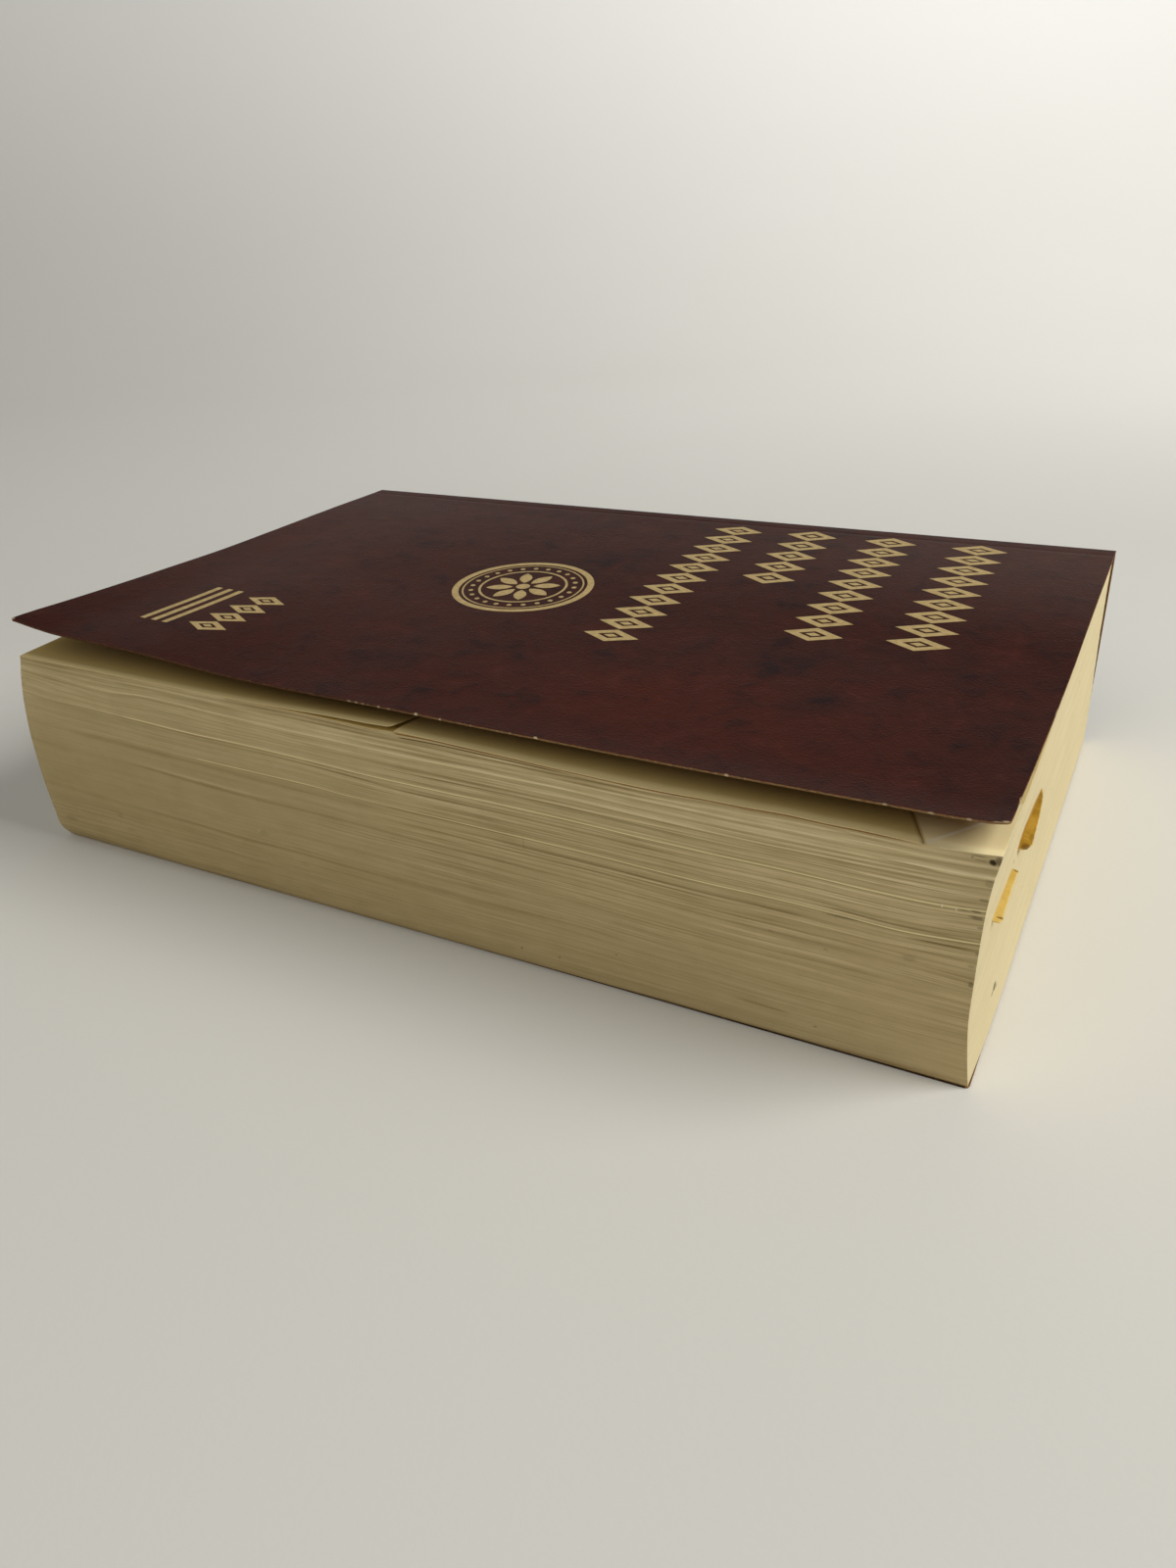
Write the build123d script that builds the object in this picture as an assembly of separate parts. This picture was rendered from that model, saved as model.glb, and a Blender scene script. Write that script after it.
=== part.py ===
from build123d import *
import os

os.makedirs("parts", exist_ok=True)

# ---------------------------------------------------------------------------
# A thick perfect-bound paperback lying on its back cover, in millimetres.
# Working coordinates: x from the tail edge (0) to the head edge, y from the
# fore-edge (0) to the spine, z up from the surface that the book lies on.
# Everything is moved to the centre of its footprint when it is written.
# ---------------------------------------------------------------------------

# driving dimensions
LENGTH = 215.9  # tail to head of the card cover, 8.5 in
WIDTH = 139.7  # fore-edge to spine of the card cover, 5.5 in
CARD = 0.4  # card cover
GLUE = 0.6  # film of binding glue on the cut backs of the leaves
LEAVES_BACK = WIDTH - CARD - GLUE  # y of the glued backs of the leaves
FORE_HEIGHT = 47.6  # top of the leaves along the fore-edge
SPINE_TAIL = 47.80  # outer face of the front cover at the spine, at the tail
SPINE_HEAD = 51.00  # the same at the head: the spine has swollen there
COVER_GAP = 0.08  # front cover to leaves at the fold
HINGE_IN = 0.2  # fold axis: half the card in from the spine's outer face
FOLD_CLEAR = 0.27  # spine panel to fold axis
PANEL_END = 0.05  # front and back panels stop this far inside the spine face
TORN_DEPTH = 0.35  # first leaf and its curl, where the corner is torn away

# the box of the finished object, which sets the origin
X_LOW, X_HIGH = -1.307, 217.20
Y_LOW, Y_HIGH = -3.013, 139.70
X_MID, Y_MID = (X_LOW + X_HIGH) / 2, (Y_LOW + Y_HIGH) / 2

# worn profile of the trimmed leaves, by height:
# height, shift of the tail end of the fore-edge along x, its bulge, and how far
# the head face stands out at the y places of HEAD_Y
HEAD_Y = [0.0, 12.0, 60.0, 100.0, LEAVES_BACK]
PROFILE = [
    (0.4, 0.10, 1.10, (0.10, 0.45, 0.50, 0.55, 0.45)),
    (3.0, -0.25, 2.55, (-0.25, 0.05, 0.30, 0.45, 0.48)),
    (8.0, -0.80, 2.85, (-0.80, -0.50, -0.05, 0.28, 0.45)),
    (14.0, -1.25, 2.95, (-1.25, -1.05, -0.40, 0.10, 0.38)),
    (22.0, -1.25, 3.00, (-1.22, -1.08, -0.50, -0.06, 0.15)),
    (30.0, -1.12, 2.75, (-1.10, -0.97, -0.50, -0.18, 0.00)),
    (37.0, -0.85, 2.10, (-0.82, -0.72, -0.42, -0.22, -0.08)),
    (42.5, -0.40, 1.30, (-0.30, -0.22, -0.15, -0.12, -0.10)),
    (47.3, 0.35, 0.55, (0.48, 0.60, 0.38, 0.15, -0.05)),
    (53.0, 0.80, 0.20, (0.90, 0.90, 0.55, 0.25, 0.00)),
]
# how the tail's bulge of the fore-edge dies away towards the head
BULGE_ALONG = [(0.0, 1.0), (0.25, 0.74), (0.5, 0.46), (0.75, 0.2), (1.0, 0.0)]

# outer face of the front cover, height along its fore-edge by x, then along its
# tail edge and its head edge by y
FORE_CURL = [
    (0.0, 56.35), (12.0, 54.85), (25.0, 54.45), (38.0, 54.05), (50.0, 53.30),
    (62.0, 52.60), (80.0, 52.25), (95.0, 52.35), (110.0, 52.25), (138.0, 52.15),
    (165.0, 52.20), (182.0, 52.38), (200.0, 52.60), (209.0, 52.74), (213.0, 52.95),
    (216.75, 53.30),
]
TAIL_CURL = [
    (0.0, 56.35), (3.5, 56.15), (7.0, 55.87), (14.0, 55.20), (24.0, 54.33), (36.0, 53.35),
    (50.0, 52.35), (66.0, 51.20), (84.0, 50.35), (102.0, 49.60), (118.0, 48.90),
    (130.0, 48.25), (139.65, 47.80),
]
HEAD_CURL = [
    (0.0, 53.30), (3.5, 52.70), (7.0, 52.25), (14.0, 51.72), (24.0, 51.12), (36.0, 50.58),
    (50.0, 50.18), (66.0, 50.10), (84.0, 50.45), (102.0, 50.70), (118.0, 50.80),
    (130.0, 50.88), (139.65, 51.01),
]
# head edge of the front cover seen from above, y to x, from the fore-edge: the
# card stands out over the leaves, with a worn corner and a nick
HEAD_EDGE = [
    (-0.10, 213.9), (0.22, 215.3), (0.45, 216.30), (1.05, 216.68), (2.0, 216.72),
    (6.0, 216.70), (9.4, 216.62), (10.4, 216.50), (11.3, 216.62), (16.0, 216.64),
    (44.0, 216.66), (73.0, 216.62), (94.0, 216.48), (117.0, 216.38), (139.65, 216.28),
]

# the first leaf: a slanted tear near the middle, and its head corner lost
TEAR = [(101.6, -6.0), (103.4, -6.0), (103.7, 3.0), (105.3, 8.0), (107.0, 15.0), (104.6, 9.0), (102.0, 3.5)]
LOST_CORNER = [(207.3, -6.0), (204.9, -0.6), (200.7, 7.5), (197.2, 15.5), (200.5, 22.0), (209.0, 26.0), (222.0, 28.0), (222.0, -6.0)]

# tabs stuck to leaves at the head edge: height of the underside, thickness and
# outline seen from above, with the edge that is between the leaves at TAB_ROOT
TAB_ROOT = 206.0
LONG_TAB_Z, SHORT_TAB_Z, TAB_CARD = 29.3, 27.6, 0.3
LONG_TAB = [(TAB_ROOT, 33.0), (215.2, 31.7), (216.6, 33.2), (217.2, 35.2), (217.05, 38.0), (216.9, 42.0), (216.7, 46.0), (216.4, 50.0), (216.1, 53.2), (215.5, 56.0), (TAB_ROOT, 56.0)]
SHORT_TAB = [(TAB_ROOT, 12.0), (214.6, 11.6), (216.2, 10.8), (216.4, 11.8), (216.25, 15.5), (216.15, 25.4), (216.25, 27.6), (214.6, 28.3), (TAB_ROOT, 28.3)]


def spine_height(x):
    """Outer face of the front cover along the spine."""
    return SPINE_TAIL + (SPINE_HEAD - SPINE_TAIL) * x / LENGTH


def leaves_top(x, y):
    """Top of the leaves: twisted, because the spine has swollen at the head."""
    at_spine = spine_height(x) - CARD - COVER_GAP
    return FORE_HEIGHT + (at_spine - FORE_HEIGHT) * y / WIDTH


def table(rows, at):
    """Straight interpolation in rows of (place, value)."""
    if at <= rows[0][0]:
        return rows[0][1]
    for (a, va), (b, vb) in zip(rows, rows[1:]):
        if at <= b:
            return va + (vb - va) * (at - a) / (b - a)
    return rows[-1][1]


def prism(outline, low, high):
    """Upright prism on a closed outline of (x, y) points."""
    wire = Wire.make_polygon([Vector(x, y, low) for x, y in outline], close=True)
    return Solid.extrude(Face(wire), Vector(0, 0, high - low))


def above_leaves(offset):
    """Everything above the leaves' top face moved up by offset."""
    def edge(y):
        return Edge.make_line(
            Vector(-20, y, leaves_top(-20, y) + offset),
            Vector(240, y, leaves_top(240, y) + offset),
        )
    face = Face.make_surface_from_curves(edge(-20), edge(160))
    return Solid.extrude(face, Vector(0, 0, 25))


def leaves_section(z, shift, bulge, head_out):
    """Closed outline of the leaves at one height."""
    fore = [
        Vector(shift + (LENGTH + head_out[0] - shift) * along, -bulge * share, z)
        for along, share in BULGE_ALONG
    ]
    head = [Vector(LENGTH + out, y, z) for y, out in zip(HEAD_Y, head_out)]
    back_tail = Vector(0, LEAVES_BACK, z)
    return Wire([
        Edge.make_spline(fore),
        Edge.make_spline(head),
        Edge.make_line(head[-1], back_tail),
        Edge.make_line(back_tail, fore[0]),
    ])


# ----- the tabs: flat card, most of each between the leaves ------------------
index_tab_long = prism(LONG_TAB, LONG_TAB_Z, LONG_TAB_Z + TAB_CARD)
index_tab_short = prism(SHORT_TAB, SHORT_TAB_Z, SHORT_TAB_Z + TAB_CARD)

# ----- all the leaves --------------------------------------------------------
text_block = Solid.make_loft([leaves_section(*row) for row in PROFILE])
text_block = text_block - above_leaves(0)
torn_layer = above_leaves(-TORN_DEPTH)
text_block = text_block - (prism(TEAR, 40, 60) & torn_layer)
text_block = text_block - (prism(LOST_CORNER, 40, 60) & torn_layer)
text_block = text_block - index_tab_long - index_tab_short

# ----- binding glue ----------------------------------------------------------
GLUE_X = (0.6, LENGTH - 0.6)
glue_side = Wire.make_polygon([
    Vector(GLUE_X[0], LEAVES_BACK, CARD + 0.05),
    Vector(GLUE_X[1], LEAVES_BACK, CARD + 0.05),
    Vector(GLUE_X[1], LEAVES_BACK, leaves_top(GLUE_X[1], WIDTH) - 0.05),
    Vector(GLUE_X[0], LEAVES_BACK, leaves_top(GLUE_X[0], WIDTH) - 0.05),
], close=True)
spine_glue = Solid.extrude(Face(glue_side), Vector(0, GLUE, 0))

# ----- spine panel of the card cover -----------------------------------------
def fold_height(x):
    """The front fold's axis."""
    return spine_height(x) - CARD / 2


CARD_LENGTH = 216.25  # the card reaches a little past the leaves at the head
panel = Wire.make_polygon([
    Vector(0, WIDTH - CARD, CARD / 2 + FOLD_CLEAR),
    Vector(CARD_LENGTH, WIDTH - CARD, CARD / 2 + FOLD_CLEAR),
    Vector(CARD_LENGTH, WIDTH - CARD, fold_height(CARD_LENGTH) - FOLD_CLEAR),
    Vector(0, WIDTH - CARD, fold_height(0) - FOLD_CLEAR),
], close=True)
cover_spine = Solid.extrude(Face(panel), Vector(0, CARD, 0))

# ----- back panel: flat on the surface, corners a little worn ----------------
BACK_LOW, BACK_HIGH = 0.2, CARD_LENGTH
back_cover = prism([
    (BACK_LOW + 2.2, 0.0), (BACK_HIGH - 0.7, 0.0), (BACK_HIGH - 0.2, 0.2), (BACK_HIGH, 0.8),
    (BACK_HIGH, WIDTH - PANEL_END), (BACK_LOW, WIDTH - PANEL_END),
    (BACK_LOW, 2.4), (BACK_LOW + 0.3, 1.2), (BACK_LOW + 1.1, 0.35),
], 0, CARD)

# ----- front panel: curled card ----------------------------------------------
PANEL_WIDTH = WIDTH - PANEL_END
REACH = 217.0  # the surface is laid out to here, then trimmed to the head edge


def front_outer(x, y):
    """Outer face of the front panel: a patch through its four edges."""
    t, u = y / PANEL_WIDTH, x / 216.75

    def bow(rows):
        return table(rows, y) - rows[0][1] * (1 - t) - rows[-1][1] * t

    return (
        table(FORE_CURL, x) * (1 - t) + spine_height(x) * t
        + bow(TAIL_CURL) * (1 - u) + bow(HEAD_CURL) * u
    )


X_ROWS = [0, 12, 25, 38, 50, 62, 80, 95, 110, 138, 165, 182, 200, 209, 213, REACH]
Y_ROWS = [min(y, PANEL_WIDTH) for y, _ in TAIL_CURL]
grid = [[Vector(x, y, front_outer(x, y) - CARD) for y in Y_ROWS] for x in X_ROWS]
inner_face = Face.make_surface_from_array_of_points(grid, tol=0.005)
front_cover = Solid.extrude(inner_face, Vector(0, 0, CARD))
front_cover = front_cover & prism(
    [(-1, PANEL_WIDTH + 1), (-1, 0.75), (-0.02, 0.75), (0.85, -0.02), (0.85, -1), (213.0, -1)]
    + [(x, y) for y, x in HEAD_EDGE] + [(216.28, PANEL_WIDTH + 1)], 40, 70)

NODES = {
    "text_block": text_block,
    "front_cover": front_cover,
    "cover_spine": cover_spine,
    "back_cover": back_cover,
    "spine_glue": spine_glue,
    "index_tab_long": index_tab_long,
    "index_tab_short": index_tab_short,
}

low, high = [1e9] * 3, [-1e9] * 3
for name, shape in NODES.items():
    placed = shape.moved(Location((-X_MID, -Y_MID, 0)))
    export_step(placed, f"parts/{name}.step")
    box = placed.bounding_box()
    low = [min(a, b) for a, b in zip(low, tuple(box.min))]
    high = [max(a, b) for a, b in zip(high, tuple(box.max))]
    print(name, "volume", round(shape.volume), "solids", len(shape.solids()), "valid", shape.is_valid)
print("box", [round(v, 3) for v in low], [round(v, 3) for v in high])
print("front fold: y", round(WIDTH - HINGE_IN - Y_MID, 3), "z at the middle", round(fold_height(X_MID), 4),
      "rise per mm", round((SPINE_HEAD - SPINE_TAIL) / LENGTH, 6))
print("back fold: y", round(WIDTH - HINGE_IN - Y_MID, 3), "z", CARD / 2)
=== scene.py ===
import math

import bmesh
import bpy
import numpy as np
from mathutils import Matrix, Vector


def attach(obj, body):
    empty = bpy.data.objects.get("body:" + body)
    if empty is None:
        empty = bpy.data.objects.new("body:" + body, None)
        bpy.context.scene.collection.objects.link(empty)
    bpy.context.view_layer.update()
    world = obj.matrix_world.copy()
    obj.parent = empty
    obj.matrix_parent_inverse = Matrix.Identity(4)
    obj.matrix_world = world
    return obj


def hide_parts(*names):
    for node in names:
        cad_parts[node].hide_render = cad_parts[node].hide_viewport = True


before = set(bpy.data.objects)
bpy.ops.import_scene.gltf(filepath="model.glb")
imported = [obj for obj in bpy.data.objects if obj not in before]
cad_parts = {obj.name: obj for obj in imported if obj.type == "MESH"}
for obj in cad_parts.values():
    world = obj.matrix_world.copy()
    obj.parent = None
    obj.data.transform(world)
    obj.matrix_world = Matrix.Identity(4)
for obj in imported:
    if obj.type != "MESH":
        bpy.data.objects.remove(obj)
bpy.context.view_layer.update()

# ---------------------------------------------------------------------------
# The looks of a thick paperback lying on its back cover. Lengths are in
# millimetres in the corner frame of the CAD part (x tail to head, y fore-edge
# to spine, z up), and are moved and scaled to metres as each mesh is written.
# ---------------------------------------------------------------------------
X_MID, Y_MID = 107.9465, 68.3435
LENGTH, WIDTH, CARD = 215.9, 139.7, 0.4
LEAVES_BACK = 138.7
FORE_HEIGHT = 47.6
FOLD_Y, FOLD_R = 139.5, 0.2
CARD_LENGTH = 216.25
PANEL_WIDTH = 139.65

PROFILE = np.array([
    (0.4, 0.10, 1.10, 0.10, 0.45, 0.50, 0.55, 0.45),
    (3.0, -0.25, 2.55, -0.25, 0.05, 0.30, 0.45, 0.48),
    (8.0, -0.80, 2.85, -0.80, -0.50, -0.05, 0.28, 0.45),
    (14.0, -1.25, 2.95, -1.25, -1.05, -0.40, 0.10, 0.38),
    (22.0, -1.25, 3.00, -1.22, -1.08, -0.50, -0.06, 0.15),
    (30.0, -1.12, 2.75, -1.10, -0.97, -0.50, -0.18, 0.00),
    (37.0, -0.85, 2.10, -0.82, -0.72, -0.42, -0.22, -0.08),
    (42.5, -0.40, 1.30, -0.30, -0.22, -0.15, -0.12, -0.10),
    (47.3, 0.35, 0.55, 0.48, 0.60, 0.38, 0.15, -0.05),
    (53.0, 0.80, 0.20, 0.90, 0.90, 0.55, 0.25, 0.00),
])
HEAD_Y = [0.0, 12.0, 60.0, 100.0, LEAVES_BACK]
BULGE_ALONG = [(0.0, 1.0), (0.25, 0.74), (0.5, 0.46), (0.75, 0.2), (1.0, 0.0)]

FORE_CURL = [
    (0.0, 56.35), (12.0, 54.85), (25.0, 54.45), (38.0, 54.05), (50.0, 53.30),
    (62.0, 52.60), (80.0, 52.25), (95.0, 52.35), (110.0, 52.25), (138.0, 52.15),
    (165.0, 52.20), (182.0, 52.38), (200.0, 52.60), (209.0, 52.74), (213.0, 52.95),
    (216.75, 53.30),
]
TAIL_CURL = [
    (0.0, 56.35), (3.5, 56.15), (7.0, 55.87), (14.0, 55.20), (24.0, 54.33), (36.0, 53.35),
    (50.0, 52.35), (66.0, 51.20), (84.0, 50.35), (102.0, 49.60), (118.0, 48.90),
    (130.0, 48.25), (139.65, 47.80),
]
HEAD_CURL = [
    (0.0, 53.30), (3.5, 52.70), (7.0, 52.25), (14.0, 51.72), (24.0, 51.12), (36.0, 50.58),
    (50.0, 50.18), (66.0, 50.10), (84.0, 50.45), (102.0, 50.70), (118.0, 50.80),
    (130.0, 50.88), (139.65, 51.01),
]
HEAD_EDGE = [
    (-0.10, 213.9), (0.22, 215.3), (0.45, 216.30), (1.05, 216.68), (2.0, 216.72),
    (6.0, 216.70), (9.4, 216.62), (10.4, 216.50), (11.3, 216.62), (16.0, 216.64),
    (44.0, 216.66), (73.0, 216.62), (94.0, 216.48), (117.0, 216.38), (139.65, 216.28),
]


# ----- small numeric helpers -------------------------------------------------
def table(rows, at):
    rows = np.asarray(rows, float)
    return np.interp(at, rows[:, 0], rows[:, 1])


def hermite(rows, at):
    """Smooth curve through rows of (place, value)."""
    rows = np.asarray(rows, float)
    xs, ys = rows[:, 0], rows[:, 1]
    h = np.diff(xs)
    d = np.diff(ys) / h
    m = np.empty_like(ys)
    m[0], m[-1] = d[0], d[-1]
    m[1:-1] = (d[:-1] * h[1:] + d[1:] * h[:-1]) / (h[1:] + h[:-1])
    at = np.clip(np.asarray(at, float), xs[0], xs[-1])
    i = np.clip(np.searchsorted(xs, at, side="right") - 1, 0, len(h) - 1)
    t = (at - xs[i]) / h[i]
    return (
        ys[i] * (2 * t**3 - 3 * t**2 + 1) + m[i] * h[i] * (t**3 - 2 * t**2 + t)
        + ys[i + 1] * (3 * t**2 - 2 * t**3) + m[i + 1] * h[i] * (t**3 - t**2)
    )


def smoothstep(t):
    t = np.clip(t, 0.0, 1.0)
    return t * t * (3 - 2 * t)


def value_noise(a, b, seed):
    """Seeded smooth noise in -1..1 over two coordinates, one lattice step a unit."""
    a, b = np.broadcast_arrays(np.asarray(a, float), np.asarray(b, float))
    rng = np.random.default_rng(seed)
    lattice = rng.uniform(-1, 1, (257, 521))
    ia, ib = np.floor(a).astype(int), np.floor(b).astype(int)
    fa, fb = smoothstep(a - ia), smoothstep(b - ib)
    ia, ib = ia % 256, ib % 520
    return (
        lattice[ia, ib] * (1 - fa) * (1 - fb) + lattice[ia + 1, ib] * fa * (1 - fb)
        + lattice[ia, ib + 1] * (1 - fa) * fb + lattice[ia + 1, ib + 1] * fa * fb
    )


# ----- the shapes that the CAD part gives ------------------------------------
def spine_height(x):
    return 47.80 + 3.20 * x / LENGTH


def fold_height(x):
    return spine_height(x) - CARD / 2


def leaves_top(x, y):
    return FORE_HEIGHT + (spine_height(x) - CARD - 0.08 - FORE_HEIGHT) * y / WIDTH


def front_outer(x, y):
    """Outer face of the front cover."""
    x, y = np.asarray(x, float), np.asarray(y, float)
    t, u = y / PANEL_WIDTH, x / 216.75

    def bow(rows):
        return hermite(rows, y) - rows[0][1] * (1 - t) - rows[-1][1] * t

    z = (
        hermite(FORE_CURL, x) * (1 - t) + spine_height(x) * t
        + bow(TAIL_CURL) * (1 - u) + bow(HEAD_CURL) * u
    )
    # it meets the round of the fold, and has a shallow score line beside it
    t_end = FOLD_Y / PANEL_WIDTH
    end = fold_height(x) + FOLD_R
    there = (
        hermite(FORE_CURL, x) * (1 - t_end) + spine_height(x) * t_end
        + (hermite(TAIL_CURL, FOLD_Y) - 56.35 * (1 - t_end) - 47.80 * t_end) * (1 - u)
        + (hermite(HEAD_CURL, FOLD_Y) - 53.30 * (1 - t_end) - 51.01 * t_end) * u
    )
    z = z + (end - there) * smoothstep((y - 136.5) / 3.0)
    return z - 0.07 * np.exp(-(((y - 135.6) / 0.55) ** 2))


def bulge_share(t):
    return hermite(BULGE_ALONG, t)


def shift(z):
    return hermite(PROFILE[:, [0, 1]], z)


def bulge(z):
    return hermite(PROFILE[:, [0, 2]], z)


def head_out(z, y):
    """How far the head face stands out, by height and y."""
    z, y = np.broadcast_arrays(np.asarray(z, float), np.asarray(y, float))
    cols = [hermite(PROFILE[:, [0, 3 + k]], z) for k in range(5)]
    out = np.zeros_like(z)
    for k in range(5):
        unit = [(a, 1.0 if i == k else 0.0) for i, a in enumerate(HEAD_Y)]
        out = out + cols[k] * hermite(unit, y)
    return out


# ----- lines of leaves on the fore-edge, x to z --------------------------------
LINE_BOTTOM = [(0, 0.4), (216, 0.4)]
LINE_A = [(0, 15.9), (23, 15.4), (30, 15.0), (40, 14.6), (50, 14.4), (60, 13.9), (75, 13.9),
          (85, 13.6), (95, 13.4), (110, 13.2), (130, 13.1), (145, 12.9), (152, 12.5), (160, 12.15),
          (170, 11.95), (178, 11.5), (190, 11.4), (205, 11.3), (216, 11.45)]
LINE_B = [(0, 27.3), (30, 26.5), (40, 26.1), (50, 25.6), (65, 25.1), (80, 25.0), (95, 24.6),
          (115, 24.4), (130, 24.0), (145, 23.8), (155, 23.5), (170, 23.0), (192, 22.9), (216, 22.1)]
LINE_C = [(0, 33.6), (3, 33.5), (14, 33.0), (27, 32.7), (40, 32.1), (50, 31.9), (57, 31.8),
          (70, 31.7), (82, 31.6), (90, 31.2), (100, 31.0), (117, 30.8), (145, 30.5), (150, 30.4),
          (165, 30.0), (185, 30.0), (195, 29.7), (204, 29.5), (210, 29.9), (216, 30.4)]
LINE_D = [(0, 39.5), (2, 39.4), (8, 38.7), (20, 38.5), (35, 38.1), (50, 37.7), (65, 37.7),
          (78, 37.5), (90, 37.1), (96, 36.9), (110, 36.8), (130, 36.8), (145, 36.6), (155, 36.4),
          (170, 36.2), (185, 36.2), (200, 36.0), (208, 36.1), (216, 36.8)]
LINE_E = [(0, 44.9), (3, 44.7), (15, 44.0), (28, 43.4), (38, 44.0), (48, 43.9), (60, 43.4),
          (75, 43.2), (80, 43.1), (100, 42.9), (130, 42.95), (141, 43.0), (150, 42.8),
          (160, 42.5), (200, 42.5), (212, 42.8), (216, 43.0)]
# top of the leaves below the torn first leaf, along the fore-edge
STACK_EDGE = [(0, 47.42), (30, 47.40), (60, 47.42), (80, 47.45), (90, 47.35), (98, 47.22), (104, 47.36), (112, 47.48),
              (119, 47.31), (125.5, 47.13), (131.7, 46.95), (137.7, 46.77), (145.6, 46.62), (153.3, 46.47), (160.8, 46.50),
              (168, 46.74), (175, 46.77), (181.8, 46.99), (188.4, 46.86), (194.8, 46.89), (201, 46.76), (205, 46.70),
              (206.5, 46.74), (209, 46.85), (212, 47.00), (216, 47.32)]
LEVELS = [0.4, 15.9, 27.3, 33.6, 39.5, 44.9, 47.42]
# edge of the first leaf along the fore-edge: it lifts beside the tear
FIRST_A = [(0, 47.56), (30, 47.56), (60, 47.62), (70, 47.75), (80, 48.00), (90, 48.26), (97, 48.36), (104, 48.60)]
FIRST_B = [(102, 47.76), (104.4, 47.80), (108, 47.74), (112, 47.68), (119, 47.49), (125.5, 47.31), (131.7, 47.13), (137.7, 46.95),
           (145.6, 46.79), (153.3, 46.64), (160.8, 46.67), (168, 46.91), (175, 46.94), (181.8, 47.17), (188.4, 47.03),
           (194.8, 47.06), (201, 46.93), (206, 46.86)]


def fore_lines(x):
    """Heights of the guide lines at x."""
    rows = [table(LINE_BOTTOM, x)] + [hermite(r, x) for r in (LINE_A, LINE_B, LINE_C, LINE_D, LINE_E)]
    return np.stack(rows + [hermite(STACK_EDGE, x)])


# an old fold across the corner: x = a + b y + c y^2
FOLD_LINE = (204.05, 1.095, -0.021)


def stack_top(x, y):
    """Top of the leaves below the torn first leaf."""
    flat = leaves_top(x, y) - 0.17
    drop = hermite(STACK_EDGE, x) - leaves_top(x, 0) + 0.17
    wave = 0.05 * value_noise(x / 38.0, y / 26.0, 11) * smoothstep(y / 20.0) * smoothstep((138.7 - y) / 20.0)
    z = flat + drop * np.exp(-((np.maximum(y, 0) / 4.2) ** 1.25)) + wave
    # crease of a corner that was once folded over, from the fore-edge to the head edge
    across = (x - (FOLD_LINE[0] + FOLD_LINE[1] * y + FOLD_LINE[2] * y * y)) * 0.72
    on = smoothstep((y + 0.2) / 1.2) * smoothstep((16.5 - y) / 3.0)
    ridge = 0.08 * np.exp(-((across / 0.45) ** 2))
    dip = -0.10 * smoothstep(across / 2.2) * smoothstep((9.0 - across) / 6.0)
    return z + on * (ridge + dip)


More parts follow.
